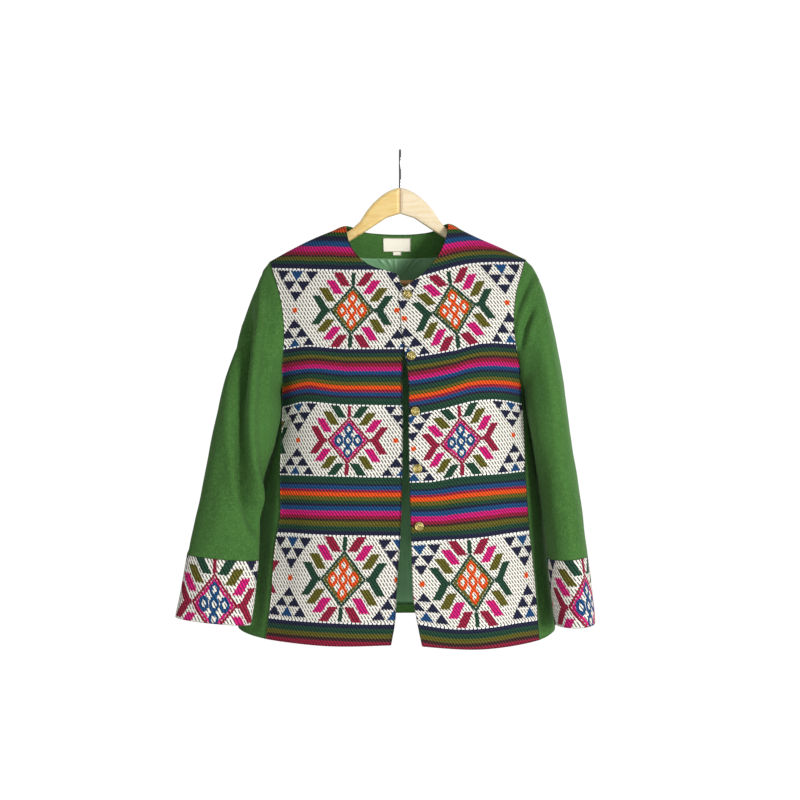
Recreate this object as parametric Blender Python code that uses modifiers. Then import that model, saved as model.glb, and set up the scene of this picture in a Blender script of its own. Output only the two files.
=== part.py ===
"""A collarless wool jacket with brocade fronts and cuffs, on a wooden hanger.

Metres, +Z up. The fronts face -Y and the wearer's left is at +X.
The origin is the inside top of the hook's bend, where the hanger hangs.
"""

import math

import bmesh
import bpy
import numpy as np
from mathutils import Vector

RIGHT = -1
LEFT = 1
SIDE_NAMES = {RIGHT: "right", LEFT: "left"}

# Cloth thicknesses and the gaps between sewn pieces
WALL = 0.0020
FACING_WALL = 0.0015
LINING_WALL = 0.0010
LABEL_WALL = 0.0010
SEAM_GAP = 0.0003
FACING_GAP = 0.0006
SIDE_SEAM_GAP = {RIGHT: 0.0009, LEFT: 0.0005}
SHOULDER_GAP = 0.0010
ARMHOLE_GAP = 0.0010
UNDERARM_GAP = 0.0029
CUFF_GAP = 0.0004
STUD_GAP = 0.0005

# The overlap of the fronts: its step, and how far from the centre it fades out
LAP = 0.0014
LAP_FLAT = 0.020
LAP_FADE = 0.050

# The body's depth closes to the shoulder ridge over this height
CROWN_HEIGHT = 0.110
INNER_RIDGE_SLOPE = 0.42

# Body sections, from the shoulders down to the hem
# reach: half-width at the side, front and back: depth at the centre,
# side_y: where the side lies, round: how square the section is
BODY_COLUMNS = ("z", "reach_right", "reach_left", "front", "back", "side_y", "round")
BODY_ROWS = (
    (-0.110, 0.2420, 0.2360, 0.044, 0.040, 0.000, 3.0),
    (-0.180, 0.2380, 0.2320, 0.047, 0.044, 0.000, 3.0),
    (-0.230, 0.2300, 0.2250, 0.052, 0.048, 0.000, 3.0),
    (-0.273, 0.2215, 0.2170, 0.057, 0.051, 0.000, 3.0),
    (-0.320, 0.2060, 0.2060, 0.062, 0.055, 0.001, 3.0),
    (-0.345, 0.1965, 0.1995, 0.065, 0.057, 0.003, 3.0),
    (-0.368, 0.1893, 0.1950, 0.067, 0.060, 0.005, 3.0),
    (-0.405, 0.1908, 0.2015, 0.069, 0.063, 0.013, 2.9),
    (-0.442, 0.1950, 0.2082, 0.071, 0.066, 0.018, 2.8),
    (-0.497, 0.2110, 0.2190, 0.072, 0.070, 0.023, 2.7),
    (-0.537, 0.2230, 0.2260, 0.072, 0.073, 0.028, 2.6),
    (-0.600, 0.2300, 0.2330, 0.072, 0.077, 0.033, 2.5),
    (-0.650, 0.2370, 0.2380, 0.072, 0.081, 0.036, 2.4),
    (-0.700, 0.2470, 0.2430, 0.071, 0.085, 0.038, 2.4),
    (-0.780, 0.2670, 0.2530, 0.070, 0.090, 0.041, 2.4),
)
DEPTH_ROUND_SHARE = 0.72

# Shoulder ridges, neck to tip
RIDGE_COLUMNS = ("x", "z")
RIDGE_ROWS = {
    RIGHT: ((0.0870, -0.1195), (0.1435, -0.1426), (0.1750, -0.1585), (0.2064, -0.1760)),
    LEFT: ((0.0775, -0.1160), (0.1220, -0.1378), (0.1586, -0.1537), (0.1989, -0.1728)),
}

# Front neck edges, from the shoulder to the front edge, x towards the piece's own side
NECK_ROWS = {
    RIGHT: (
        (0.0870, -0.1195),
        (0.0805, -0.1478),
        (0.0693, -0.1680),
        (0.0547, -0.1815),
        (0.0268, -0.1930),
        (0.0100, -0.1980),
        (-0.0180, -0.2070),
    ),
    LEFT: (
        (0.0775, -0.1160),
        (0.0724, -0.1424),
        (0.0623, -0.1669),
        (0.0505, -0.1840),
        (0.0378, -0.1990),
        (0.0185, -0.2094),
        (0.0008, -0.2181),
    ),
}

# Front edges, from the neck to the hem, x towards the piece's own side
EDGE_ROWS = {
    RIGHT: (
        (-0.0180, -0.2070),
        (-0.0120, -0.2700),
        (-0.0050, -0.3190),
        (-0.0037, -0.4580),
        (0.0015, -0.6300),
        (0.0055, -0.6780),
        (0.0085, -0.7410),
        (0.0143, -0.7735),
    ),
    LEFT: (
        (0.0008, -0.2181),
        (0.0030, -0.2880),
        (0.0074, -0.3190),
        (0.0131, -0.3570),
        (0.0139, -0.4420),
        (0.0185, -0.6290),
        (0.0216, -0.7060),
        (0.0345, -0.7750),
    ),
}

# Armholes in front and at the back, from the shoulder tip to the side panel
ARMHOLE_ROWS = {
    (RIGHT, "front"): (
        (0.2064, -0.1760),
        (0.1953, -0.2083),
        (0.1881, -0.2327),
        (0.1819, -0.2733),
        (0.1811, -0.2990),
        (0.1829, -0.3250),
        (0.1850, -0.3450),
    ),
    (RIGHT, "back"): (
        (0.2064, -0.1760),
        (0.2000, -0.2083),
        (0.1955, -0.2327),
        (0.1905, -0.2733),
        (0.1885, -0.2990),
        (0.1875, -0.3250),
        (0.1870, -0.3450),
    ),
    (LEFT, "front"): (
        (0.1989, -0.1728),
        (0.1883, -0.2068),
        (0.1818, -0.2304),
        (0.1785, -0.2592),
        (0.1792, -0.2896),
        (0.1830, -0.3200),
        (0.1880, -0.3450),
    ),
    (LEFT, "back"): (
        (0.1989, -0.1728),
        (0.1945, -0.2068),
        (0.1910, -0.2304),
        (0.1880, -0.2592),
        (0.1875, -0.2896),
        (0.1885, -0.3200),
        (0.1900, -0.3450),
    ),
}
UNDERARM_Z = -0.3680

# Side seams of the brocade, and the hem's height round the body
SEAM_ROWS = {
    RIGHT: (
        (0.1850, -0.3450),
        (0.1868, -0.4420),
        (0.1884, -0.5190),
        (0.1888, -0.5860),
        (0.1947, -0.6130),
        (0.2036, -0.7150),
        (0.2104, -0.7715),
    ),
    LEFT: (
        (0.1880, -0.3450),
        (0.1950, -0.4420),
        (0.1967, -0.5120),
        (0.2002, -0.5620),
        (0.2036, -0.6030),
        (0.2119, -0.6720),
        (0.2198, -0.7760),
    ),
}
BACK_SEAM_SHARE = 0.952
BACK_SEAM_ANGLE = 130.0
HEM_COLUMNS = ("angle", "z")
HEM_ROWS = (
    (0.0, -0.7745),
    (30.0, -0.7780),
    (60.0, -0.7745),
    (90.0, -0.7660),
    (130.0, -0.7560),
    (180.0, -0.7490),
)
HEM_SAG = {RIGHT: 0.0030, LEFT: 0.0060}
HEM_SAG_POWER = 3
BACK_NECK_Z = -0.1290
BACK_NECK_POWER = 3

# Large drape folds of the back: x at the centre, depth, half-width, top, foot
FOLD_COLUMNS = ("x", "depth", "width", "top", "foot")
BACK_FOLD_ROWS = (
    (-0.118, 0.0080, 0.034, -0.250, -0.780),
    (0.012, 0.0040, 0.028, -0.420, -0.780),
    (0.128, 0.0070, 0.036, -0.300, -0.780),
)
FRONT_FOLD_ROWS = (
    (-0.110, 0.0035, 0.040, -0.520, -0.780),
    (0.120, 0.0030, 0.040, -0.480, -0.780),
)

# Sleeves: outer and inner fold lines, half-depth and middle of each section
SLEEVE_COLUMNS = ("out_x", "out_z", "in_x", "in_z", "depth", "middle")
SLEEVE_ROWS = {
    RIGHT: (
        (0.2179, -0.1904, 0.1935, -0.3700, 0.0490, 0.000),
        (0.2325, -0.2292, 0.1940, -0.3750, 0.0530, -0.001),
        (0.2470, -0.2670, 0.1940, -0.3830, 0.0560, -0.002),
        (0.2617, -0.3070, 0.1935, -0.3950, 0.0570, -0.006),
        (0.2730, -0.3477, 0.1932, -0.4120, 0.0570, -0.011),
        (0.2860, -0.3960, 0.1940, -0.4380, 0.0560, -0.017),
        (0.2950, -0.4360, 0.1985, -0.4660, 0.0530, -0.021),
        (0.3035, -0.4755, 0.2090, -0.4970, 0.0500, -0.024),
        (0.3108, -0.5150, 0.2180, -0.5320, 0.0460, -0.028),
        (0.3180, -0.5541, 0.2200, -0.5660, 0.0420, -0.031),
        (0.3280, -0.5980, 0.2205, -0.6080, 0.0370, -0.035),
        (0.3370, -0.6410, 0.2215, -0.6505, 0.0320, -0.040),
    ),
    LEFT: (
        (0.2091, -0.1802, 0.1985, -0.3700, 0.0490, 0.000),
        (0.2237, -0.2117, 0.2000, -0.3740, 0.0530, -0.001),
        (0.2336, -0.2506, 0.2010, -0.3810, 0.0560, -0.002),
        (0.2431, -0.2872, 0.2020, -0.3920, 0.0570, -0.005),
        (0.2527, -0.3382, 0.2042, -0.4120, 0.0570, -0.010),
        (0.2627, -0.3966, 0.2092, -0.4434, 0.0570, -0.018),
        (0.2711, -0.4437, 0.2155, -0.4800, 0.0560, -0.021),
        (0.2760, -0.4740, 0.2190, -0.5050, 0.0550, -0.023),
        (0.2817, -0.5050, 0.2230, -0.5300, 0.0540, -0.024),
        (0.2911, -0.5665, 0.2280, -0.5800, 0.0530, -0.025),
        (0.2960, -0.6050, 0.2310, -0.6150, 0.0520, -0.026),
        (0.3006, -0.6410, 0.2330, -0.6470, 0.0510, -0.027),
    ),
}
CUFF_ROWS = {
    RIGHT: (
        (0.3410, -0.6640, 0.2240, -0.6740, 0.0310, -0.042),
        (0.3465, -0.6970, 0.2275, -0.7080, 0.0290, -0.044),
        (0.3530, -0.7335, 0.2335, -0.7455, 0.0260, -0.045),
    ),
    LEFT: (
        (0.3035, -0.6677, 0.2354, -0.6720, 0.0500, -0.027),
        (0.3090, -0.7060, 0.2400, -0.7100, 0.0490, -0.027),
        (0.3112, -0.7440, 0.2445, -0.7480, 0.0480, -0.027),
    ),
}

# Sleeve creases: height at both ends, place round the sleeve at both ends in degrees
CREASE_COLUMNS = ("top", "foot", "top_angle", "foot_angle", "depth", "width")
CREASE_ROWS = {
    RIGHT: (
        (-0.250, -0.470, 40.0, 92.0, 0.0060, 30.0),
        (-0.440, -0.590, 92.0, 150.0, 0.0055, 30.0),
        (-0.330, -0.600, 250.0, 290.0, 0.0050, 32.0),
    ),
    LEFT: (
        (-0.205, -0.300, 50.0, 105.0, 0.0045, 28.0),
        (-0.380, -0.600, 80.0, 60.0, 0.0040, 30.0),
        (-0.300, -0.560, 290.0, 250.0, 0.0050, 32.0),
    ),
}

CREASE_FULLNESS = 0.7

# The sleeve's head: rings that lead in from the armhole, its roundness, and how far
# round from the underarm the sleeve stands off the body
HEAD_ROWS = 4
HEAD_ROUNDNESS = 1.15
EVEN_ROWS = 5
UNDERARM_SPREAD = 0.25

# Grid counts
ARMHOLE_STEPS = 9
NECK_STEPS = 7
BODY_STEPS = 13
FRONT_ROWS = ARMHOLE_STEPS + BODY_STEPS
BACK_ROWS = ARMHOLE_STEPS + BODY_STEPS + 1
FACING_STEPS = 4
UNDERARM_STEPS = 3
FRONT_COLUMNS = 11
NECK_COLUMNS = 3
SHOULDER_COLUMNS = 5
SIDE_COLUMNS = 2 * UNDERARM_STEPS
SLEEVE_AROUND = 2 * (ARMHOLE_STEPS + UNDERARM_STEPS)
ARMHOLE_EASE = 2.0
NECK_EASE = 1.9

# Inside the back: facing, lining, hem turning, label, and the usual height of a row
ROW_HEIGHT = 0.030
FACING_DROP = 0.036
HEM_BAND_HEIGHT = 0.014
LABEL_WIDTH = 0.0445
LABEL_HEIGHT = 0.0210
LABEL_X = -0.0055
LABEL_TOP_Z = -0.1335
TAB_WIDTH = 0.0135
TAB_FOOT_Z = -0.1605

# Press studs on the wearer's left front
STUD_RADIUS = 0.0072
STUD_HEIGHT = 0.0030
STUD_STEPS = 16
STUD_PROFILE = (
    (0.00, 1.00),
    (0.42, 0.86),
    (0.62, 0.58),
    (0.82, 1.00),
    (1.00, 0.70),
    (1.00, 0.00),
    (0.00, 0.00),
)
STUD_ROWS = (
    (0.0118, -0.2323),
    (0.0174, -0.3278),
    (0.0234, -0.4133),
    (0.0270, -0.5016),
    (0.0293, -0.5900),
)

# Hanger
WOOD_THICKNESS = 0.0120
WOOD_EDGE = 0.0050
ARM_END_X = 0.1800
DOME_TOP_Z = -0.0580
BAR_RADIUS = 0.0055
BAR_Z = -0.2105
BAR_END_X = 0.1505
WIRE_RADIUS = 0.00175
BEND_RADIUS = 0.0205
HOOK_STEM = 0.006
HOOK_TURN = (-60, 210, 15)
RIDGE_CLEARANCE = 0.0018
NECK_CLEARANCE = 0.0088
CLEARANCE_FADE = 0.045

# The wooden arm's outline: its domed top as x and z, where its top is measured, and its
# lower edge from the outer end back to the middle
DOME_ROWS = (
    (0.0000, DOME_TOP_Z),
    (0.0080, -0.0595),
    (0.0190, -0.0640),
    (0.0370, -0.0770),
    (0.0520, -0.0935),
    (0.0640, -0.1120),
)
ARM_JOINT_X = 0.00015
ARM_TOP_X = (ARM_JOINT_X, 0.008, 0.016, 0.024, 0.033, 0.043, 0.053, 0.064)
ARM_TOP_X += (0.076, 0.092, 0.112, 0.135, 0.158, 0.172)
ARM_END_DROP = 0.006
ARM_LOW_ROWS = (
    (ARM_END_X, BAR_Z + 0.002),
    (ARM_END_X - 0.006, BAR_Z - 0.010),
    (BAR_END_X + 0.008, BAR_Z - 0.011),
    (BAR_END_X + SEAM_GAP, BAR_Z - 0.006),
    (BAR_END_X + SEAM_GAP, BAR_Z + 0.006),
    (BAR_END_X - 0.004, BAR_Z + 0.020),
    (0.1200, -0.1610),
    (0.0840, -0.1455),
    (0.0500, -0.1245),
    (0.0220, -0.1060),
    (ARM_JOINT_X, -0.0990),
)

# Finishes: colour, roughness, metallic
FINISHES = {
    "brocade": ((0.42, 0.22, 0.20), 0.90, 0.0),
    "wool": ((0.060, 0.160, 0.045), 0.92, 0.0),
    "satin": ((0.090, 0.300, 0.100), 0.40, 0.0),
    "label": ((0.85, 0.84, 0.80), 0.80, 0.0),
    "brass": ((0.55, 0.42, 0.16), 0.35, 1.0),
    "wood": ((0.80, 0.58, 0.30), 0.50, 0.0),
    "steel": ((0.20, 0.20, 0.21), 0.35, 1.0),
}


def named_table(columns, rows):
    """The rows as a dict with one array for each named column."""
    return dict(zip(columns, np.array(rows, dtype=float).T))


def smooth_curve(knots, values, at):
    """A value on a smooth curve through a table, held at both ends."""
    order = np.argsort(knots)
    knots = np.asarray(knots, dtype=float)[order]
    values = np.asarray(values, dtype=float)[order]
    at = min(max(at, knots[0]), knots[-1])
    tangents = np.gradient(values, knots)
    index = min(int(np.searchsorted(knots, at, side="right")) - 1, len(knots) - 2)
    width = knots[index + 1] - knots[index]
    t = (at - knots[index]) / width
    start = (1 + 2 * t) * (1 - t) ** 2 * values[index]
    end = t * t * (3 - 2 * t) * values[index + 1]
    leave = t * (1 - t) ** 2 * width * tangents[index]
    arrive = t * t * (t - 1) * width * tangents[index + 1]
    return float(start + end + leave + arrive)


def along_path(points, share):
    """The point at a share of a smooth path's length."""
    points = np.asarray(points, dtype=float)
    steps = np.linalg.norm(np.diff(points, axis=0), axis=1)
    lengths = np.concatenate([[0.0], np.cumsum(steps)])
    at = share * lengths[-1]
    return [smooth_curve(lengths, points[:, axis], at) for axis in range(points.shape[1])]


def ease(value):
    """A smooth step from 0 to 1."""
    value = min(max(value, 0.0), 1.0)
    return value * value * (3 - 2 * value)


BODY = named_table(BODY_COLUMNS, BODY_ROWS)
HEM = named_table(HEM_COLUMNS, HEM_ROWS)
BACK_FOLDS = named_table(FOLD_COLUMNS, BACK_FOLD_ROWS)
FRONT_FOLDS = named_table(FOLD_COLUMNS, FRONT_FOLD_ROWS)


def body_value(name, z):
    """One column of the body sections at a height."""
    return smooth_curve(BODY["z"], BODY[name], z)


def reach_at(side, z):
    """The body's half-width on one side at a height."""
    return body_value("reach_" + SIDE_NAMES[side], z)


def ridge_z(side, x):
    """The shoulder ridge's height, carried on over the neck hole."""
    ridge = named_table(RIDGE_COLUMNS, RIDGE_ROWS[side])
    if x < ridge["x"][0]:
        return ridge["z"][0] + INNER_RIDGE_SLOPE * (ridge["x"][0] - x)
    return smooth_curve(ridge["x"], ridge["z"], x)


def crown_share(side, x, z):
    """How far the depth has opened below the shoulder ridge, from 0 to 1."""
    below = min(max((ridge_z(side, x) - z) / CROWN_HEIGHT, 0.0), 1.0)
    return math.sqrt(1 - (1 - below) ** 2)


def fold_offset(folds, x, z):
    """The sum of the soft vertical folds at a place, outwards."""
    total = 0.0
    for centre, depth, width, top, foot in zip(*(folds[name] for name in FOLD_COLUMNS)):
        down = ease((top - z) / (top - foot))
        total += depth * down * math.exp(-(((x - centre) / width) ** 2))
    return total


def face_y(side, x, z, face):
    """The depth of the front or back at a place, x towards the piece's own side."""
    share = min(abs(x) / reach_at(side, z), 1.0)
    power = body_value("round", z)
    full = max(1 - share**power, 0.0) ** (1 / (DEPTH_ROUND_SHARE * power))
    middle = body_value("side_y", z)
    opened = full * crown_share(side, x, z)
    if face == "front":
        fold = fold_offset(FRONT_FOLDS, side * x, z)
        return middle - (body_value("front", z) + middle + fold) * opened
    fold = fold_offset(BACK_FOLDS, side * x, z)
    return middle + (body_value("back", z) - middle + fold) * opened


def ring_angle(side, x, z, face):
    """The angle round the body, 0 at centre front and 180 at centre back."""
    share = min(max(x / reach_at(side, z), 0.0), 1.0)
    angle = math.degrees(math.asin(share ** (body_value("round", z) / 2)))
    return angle if face == "front" else 180 - angle


def ring_point(side, angle, z):
    """The point of the body at an angle and a height."""
    share = abs(math.sin(math.radians(angle))) ** (2 / body_value("round", z))
    x = share * reach_at(side, z)
    face = "front" if angle < 90 else "back"
    return side * x, face_y(side, x, z, face), z


def hem_z(angle):
    """The hem's height at an angle round the body."""
    return smooth_curve(HEM["angle"], HEM["z"], angle)


def wall_object(name, grid, wall, closed=False):
    """A sheet through a grid of points, with the cloth's thickness added evenly."""
    rows, columns = len(grid), len(grid[0])
    mesh = bmesh.new()
    points = [[mesh.verts.new(point) for point in row] for row in grid]
    last = columns if closed else columns - 1
    for row in range(rows - 1):
        for column in range(last):
            beside = (column + 1) % columns
            corners = (
                points[row][column],
                points[row + 1][column],
                points[row + 1][beside],
                points[row][beside],
            )
            mesh.faces.new(corners)
    data = bpy.data.meshes.new(name)
    mesh.to_mesh(data)
    mesh.free()
    data.shade_smooth()
    cloth = bpy.data.objects.new(name, data)
    solid = cloth.modifiers.new("Thickness", "SOLIDIFY")
    solid.thickness = wall
    solid.offset = 0.0
    solid.use_quality_normals = True
    return cloth


def turned(grid, side, outwards=1):
    """The grid with its columns in the order that makes the faces look outwards."""
    if side * outwards > 0:
        return grid
    return [list(reversed(row)) for row in grid]


def armhole_share(step):
    """How far down the front or back armhole a step lies."""
    return (step / ARMHOLE_STEPS) ** ARMHOLE_EASE


def armhole_edge(side, face, step):
    """A point of the armhole's front or back edge, in the piece's own x."""
    return along_path(ARMHOLE_ROWS[(side, face)], armhole_share(step))


def neck_edge(side, step):
    """A point of the front neck edge."""
    return along_path(NECK_ROWS[side], (step / NECK_STEPS) ** NECK_EASE)


def down_rows(first, last, steps, step):
    """A height on the way down from the first to the last."""
    return first + (last - first) * step / steps


def front_inner(side, row):
    """The front panel's inner boundary: neck edge, then front edge."""
    if row <= NECK_STEPS:
        return neck_edge(side, row)
    rows = np.array(EDGE_ROWS[side])
    z = down_rows(rows[0][1], rows[-1][1], FRONT_ROWS - NECK_STEPS, row - NECK_STEPS)
    return smooth_curve(rows[:, 1], rows[:, 0], z), z


def front_outer(side, row):
    """The front panel's outer boundary: armhole, then side seam."""
    if row <= ARMHOLE_STEPS:
        x, z = armhole_edge(side, "front", row)
        return x - ARMHOLE_GAP / 2, z
    z = down_rows(SEAM_ROWS[side][0][1], SEAM_ROWS[side][-1][1], BODY_STEPS, row - ARMHOLE_STEPS)
    return front_seam_x(side, z) - SIDE_SEAM_GAP[side] / 2, z


def front_seam_x(side, z):
    """Where the brocade meets the side panel."""
    rows = np.array(SEAM_ROWS[side])
    return smooth_curve(rows[:, 1], rows[:, 0], z)


def front_lap(side, x):
    """The overlap's small step, outwards for the upper front."""
    near = 1 - ease((abs(x) - LAP_FLAT) / LAP_FADE)
    return -side * LAP * near


def front_point(side, row, share):
    """A point of a front panel, by row and by share of its width."""
    inner = front_inner(side, row)
    outer = front_outer(side, row)
    x = inner[0] + (outer[0] - inner[0]) * share
    z = inner[1] + (outer[1] - inner[1]) * share
    top_inner, top_outer = front_inner(side, 0), front_outer(side, 0)
    top_x = top_inner[0] + (top_outer[0] - top_inner[0]) * share
    straight = top_inner[1] + (top_outer[1] - top_inner[1]) * share
    fade = max(0.0, 1 - row / NECK_STEPS)
    z += (ridge_z(side, top_x) - straight) * fade
    z -= HEM_SAG[side] * math.sin(math.pi * share) * (row / FRONT_ROWS) ** HEM_SAG_POWER
    y = face_y(side, x, z, "front") + front_lap(side, x)
    if row == 0:
        y = -SHOULDER_GAP / 2
    return side * x, y, z


def make_front(side):
    """One brocade front."""
    shares = [column / FRONT_COLUMNS for column in range(FRONT_COLUMNS + 1)]
    grid = [[front_point(side, row, share) for share in shares] for row in range(FRONT_ROWS + 1)]
    return wall_object("front_" + SIDE_NAMES[side], turned(grid, side), WALL)


def back_outer(side, row):
    """The back panel's side boundary: armhole, then side seam, then hem turning."""
    if row <= ARMHOLE_STEPS:
        x, z = armhole_edge(side, "back", row)
        return x - ARMHOLE_GAP / 2, z
    top = ARMHOLE_ROWS[(side, "back")][-1][1]
    foot = hem_z(BACK_SEAM_ANGLE)
    z = down_rows(top, foot + HEM_BAND_HEIGHT, BODY_STEPS, row - ARMHOLE_STEPS)
    if row == BACK_ROWS:
        z = foot
    return back_seam_x(side, z) - SIDE_SEAM_GAP[side] / 2, z


def back_seam_x(side, z):
    """Where the back meets the side panel."""
    return BACK_SEAM_SHARE * reach_at(side, z)


def back_neck_z(side, x):
    """The back neck edge, level at the centre and rising to the shoulder."""
    neck_x, neck_z = RIDGE_ROWS[side][0]
    return BACK_NECK_Z + (neck_z - BACK_NECK_Z) * min(x / neck_x, 1.0) ** BACK_NECK_POWER


def back_centre_z(row):
    """The heights of the back's middle column."""
    if row <= ARMHOLE_STEPS:
        return BACK_NECK_Z - FACING_DROP * armhole_share(row) / armhole_share(FACING_STEPS)
    if row == BACK_ROWS:
        return hem_z(180.0)
    chest = back_centre_z(ARMHOLE_STEPS)
    return down_rows(chest, hem_z(180.0) + HEM_BAND_HEIGHT, BODY_STEPS, row - ARMHOLE_STEPS)


def back_shares(side):
    """The back's columns, with one at the neck's corner."""
    corner = RIDGE_ROWS[side][0][0] / RIDGE_ROWS[side][-1][0]
    shares = [corner * step / NECK_COLUMNS for step in range(NECK_COLUMNS)]
    for step in range(SHOULDER_COLUMNS + 1):
        shares.append(corner + (1 - corner) * step / SHOULDER_COLUMNS)
    return shares


def back_point(side, row, share):
    """A point of the back, by row and by share of its half-width."""
    outer_x, outer_z = back_outer(side, row)
    tip_x, tip_z = back_outer(side, 0)
    corner = RIDGE_ROWS[side][0][0] / RIDGE_ROWS[side][-1][0]
    blend = share**2
    x = outer_x * share
    z = back_centre_z(row) * (1 - blend) + outer_z * blend
    top_x = tip_x * share
    top = back_neck_z(side, top_x) if share < corner - 1e-6 else ridge_z(side, top_x)
    straight = BACK_NECK_Z * (1 - blend) + tip_z * blend
    z += (top - straight) * max(0.0, 1 - row / ARMHOLE_STEPS)
    y = face_y(side, x, z, "back")
    if row == 0 and share >= corner - 1e-6:
        y = SHOULDER_GAP / 2
    return side * x, y, z


def back_grid():
    """The back's points, from the wearer's left to the right."""
    grid = []
    for row in range(BACK_ROWS + 1):
        left = [back_point(LEFT, row, share) for share in reversed(back_shares(LEFT)[1:])]
        centre = [back_point(RIGHT, row, 0.0)]
        right = [back_point(RIGHT, row, share) for share in back_shares(RIGHT)[1:]]
        grid.append(left + centre + right)
    return grid


def loop_point(side, station):
    """A point of the armhole loop: 0 at the shoulder, halfway at the underarm."""
    half = ARMHOLE_STEPS + UNDERARM_STEPS
    face = "front" if station <= half else "back"
    step = station if station <= half else SLEEVE_AROUND - station
    if step <= ARMHOLE_STEPS:
        x, z = armhole_edge(side, face, step)
        return x, face_y(side, x, z, face) if step else 0.0, z
    x_top, z_top = ARMHOLE_ROWS[(side, face)][-1]
    share = (step - ARMHOLE_STEPS) / UNDERARM_STEPS
    turn = math.sin(math.radians(90 * share))
    z = z_top + (UNDERARM_Z - z_top) * turn
    pit_x = reach_at(side, UNDERARM_Z)
    x = x_top + (pit_x - x_top) * share
    start = face_y(side, x_top, z_top, face)
    middle = body_value("side_y", UNDERARM_Z)
    y = middle + (start - middle) * math.cos(math.radians(90 * share))
    return x, y, z


def side_point(side, column, row):
    """A point of a side panel, from its front seam round to its back seam."""
    top_x, top_y, top_z = loop_point(side, ARMHOLE_STEPS + column)
    share = column / SIDE_COLUMNS
    front_foot = SEAM_ROWS[side][-1][1]
    foot = front_foot + (hem_z(BACK_SEAM_ANGLE) - front_foot) * share
    z = down_rows(top_z, foot, BODY_STEPS, row)
    if column == 0:
        x = front_seam_x(side, z) + SIDE_SEAM_GAP[side] / 2
        return side * x, face_y(side, x, z, "front"), z
    if column == SIDE_COLUMNS:
        x = back_seam_x(side, z) + SIDE_SEAM_GAP[side] / 2
        return side * x, face_y(side, x, z, "back"), z
    if row == 0:
        return side * top_x, top_y, top_z
    start = ring_angle(side, front_seam_x(side, z), z, "front")
    end = ring_angle(side, back_seam_x(side, z), z, "back")
    return ring_point(side, start + (end - start) * share, z)


def make_side(side):
    """One wool side panel."""
    grid = []
    for row in range(BODY_STEPS + 1):
        grid.append([side_point(side, column, row) for column in range(SIDE_COLUMNS + 1)])
    return wall_object("side_" + SIDE_NAMES[side], turned(grid, side), WALL)


def crease_offset(side, angle, z):
    """The sleeve's soft creases at a place, as a depth inwards."""
    total = 0.0
    creases = named_table(CREASE_COLUMNS, CREASE_ROWS[side])
    for top, foot, start, end, depth, width in zip(*(creases[name] for name in CREASE_COLUMNS)):
        share = (z - top) / (foot - top)
        if not 0 < share < 1:
            continue
        centre = start + (end - start) * share
        near = math.exp(-(((angle - centre) / width) ** 2))
        total += depth * near * math.sin(math.pi * share) ** CREASE_FULLNESS
    return total


def station_angle(side, station):
    """The station's angle round the armhole loop by its length."""
    points = [np.array(loop_point(side, index)) for index in range(SLEEVE_AROUND + 1)]
    steps = [np.linalg.norm(points[index + 1] - points[index]) for index in range(SLEEVE_AROUND)]
    half = SLEEVE_AROUND // 2
    if station <= half:
        return 180 * sum(steps[:station]) / sum(steps[:half])
    return 180 + 180 * sum(steps[half:station]) / sum(steps[half:])


def section_point(side, row, angle, columns):
    """A point of a sleeve section: 0 degrees is its outer fold, 90 its front."""
    values = dict(zip(SLEEVE_COLUMNS, columns[row]))
    turn = math.radians(angle)
    across = (1 + math.cos(turn)) / 2
    x = values["in_x"] + (values["out_x"] - values["in_x"]) * across
    z = values["in_z"] + (values["out_z"] - values["in_z"]) * across
    inward = crease_offset(side, angle, z)
    y = values["middle"] - (values["depth"] - inward) * math.sin(turn)
    x -= inward * math.cos(turn)
    return side * x, y, z


def sleeve_grid(side):
    """The sleeve's rings, from the armhole loop to the wrist."""
    rows = SLEEVE_ROWS[side]
    grid = [[]]
    for station in range(SLEEVE_AROUND):
        x, y, z = loop_point(side, station)
        under = ease(1 - abs(station / SLEEVE_AROUND - 0.5) / UNDERARM_SPREAD)
        x += ARMHOLE_GAP / 2 + UNDERARM_GAP * under
        grid[0].append((side * x, y, z))
    for row in range(len(rows)):
        ring = []
        settled = ease((row + 1) / EVEN_ROWS)
        for station in range(SLEEVE_AROUND):
            even = 360 * station / SLEEVE_AROUND
            own = station_angle(side, station)
            ring.append(Vector(section_point(side, row, own + (even - own) * settled, rows)))
        grid.append(ring)
    for row in range(1, HEAD_ROWS):
        share = row / HEAD_ROWS
        for station in range(SLEEVE_AROUND):
            straight = Vector(grid[0][station]).lerp(grid[HEAD_ROWS][station], share)
            grid[row][station] = straight.lerp(grid[row][station], ease(share * HEAD_ROUNDNESS))
    return grid


def make_sleeve(side):
    """One wool sleeve, open at the armhole and at the wrist."""
    grid = turned(sleeve_grid(side), side)
    return wall_object("sleeve_" + SIDE_NAMES[side], grid, WALL, closed=True)


def make_cuff(side):
    """One brocade cuff."""
    wrist = np.array(SLEEVE_ROWS[side][-1])
    below = np.array(CUFF_ROWS[side][0])
    drop = CUFF_GAP / (wrist[1] - below[1])
    rows = [wrist + (below - wrist) * drop] + list(CUFF_ROWS[side])
    angles = [360 * station / SLEEVE_AROUND for station in range(SLEEVE_AROUND)]
    grid = [[section_point(side, row, angle, rows) for angle in angles] for row in range(len(rows))]
    return wall_object("cuff_" + SIDE_NAMES[side], turned(grid, side), WALL, closed=True)


def grid_normal(grid, row, column):
    """The way out of the back at one of its points."""
    rows, columns = len(grid), len(grid[0])
    above = Vector(grid[max(row - 1, 0)][column])
    under = Vector(grid[min(row + 1, rows - 1)][column])
    before = Vector(grid[row][max(column - 1, 0)])
    after = Vector(grid[row][min(column + 1, columns - 1)])
    normal = (under - above).cross(after - before).normalized()
    return normal if normal.y > 0 else -normal


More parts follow.
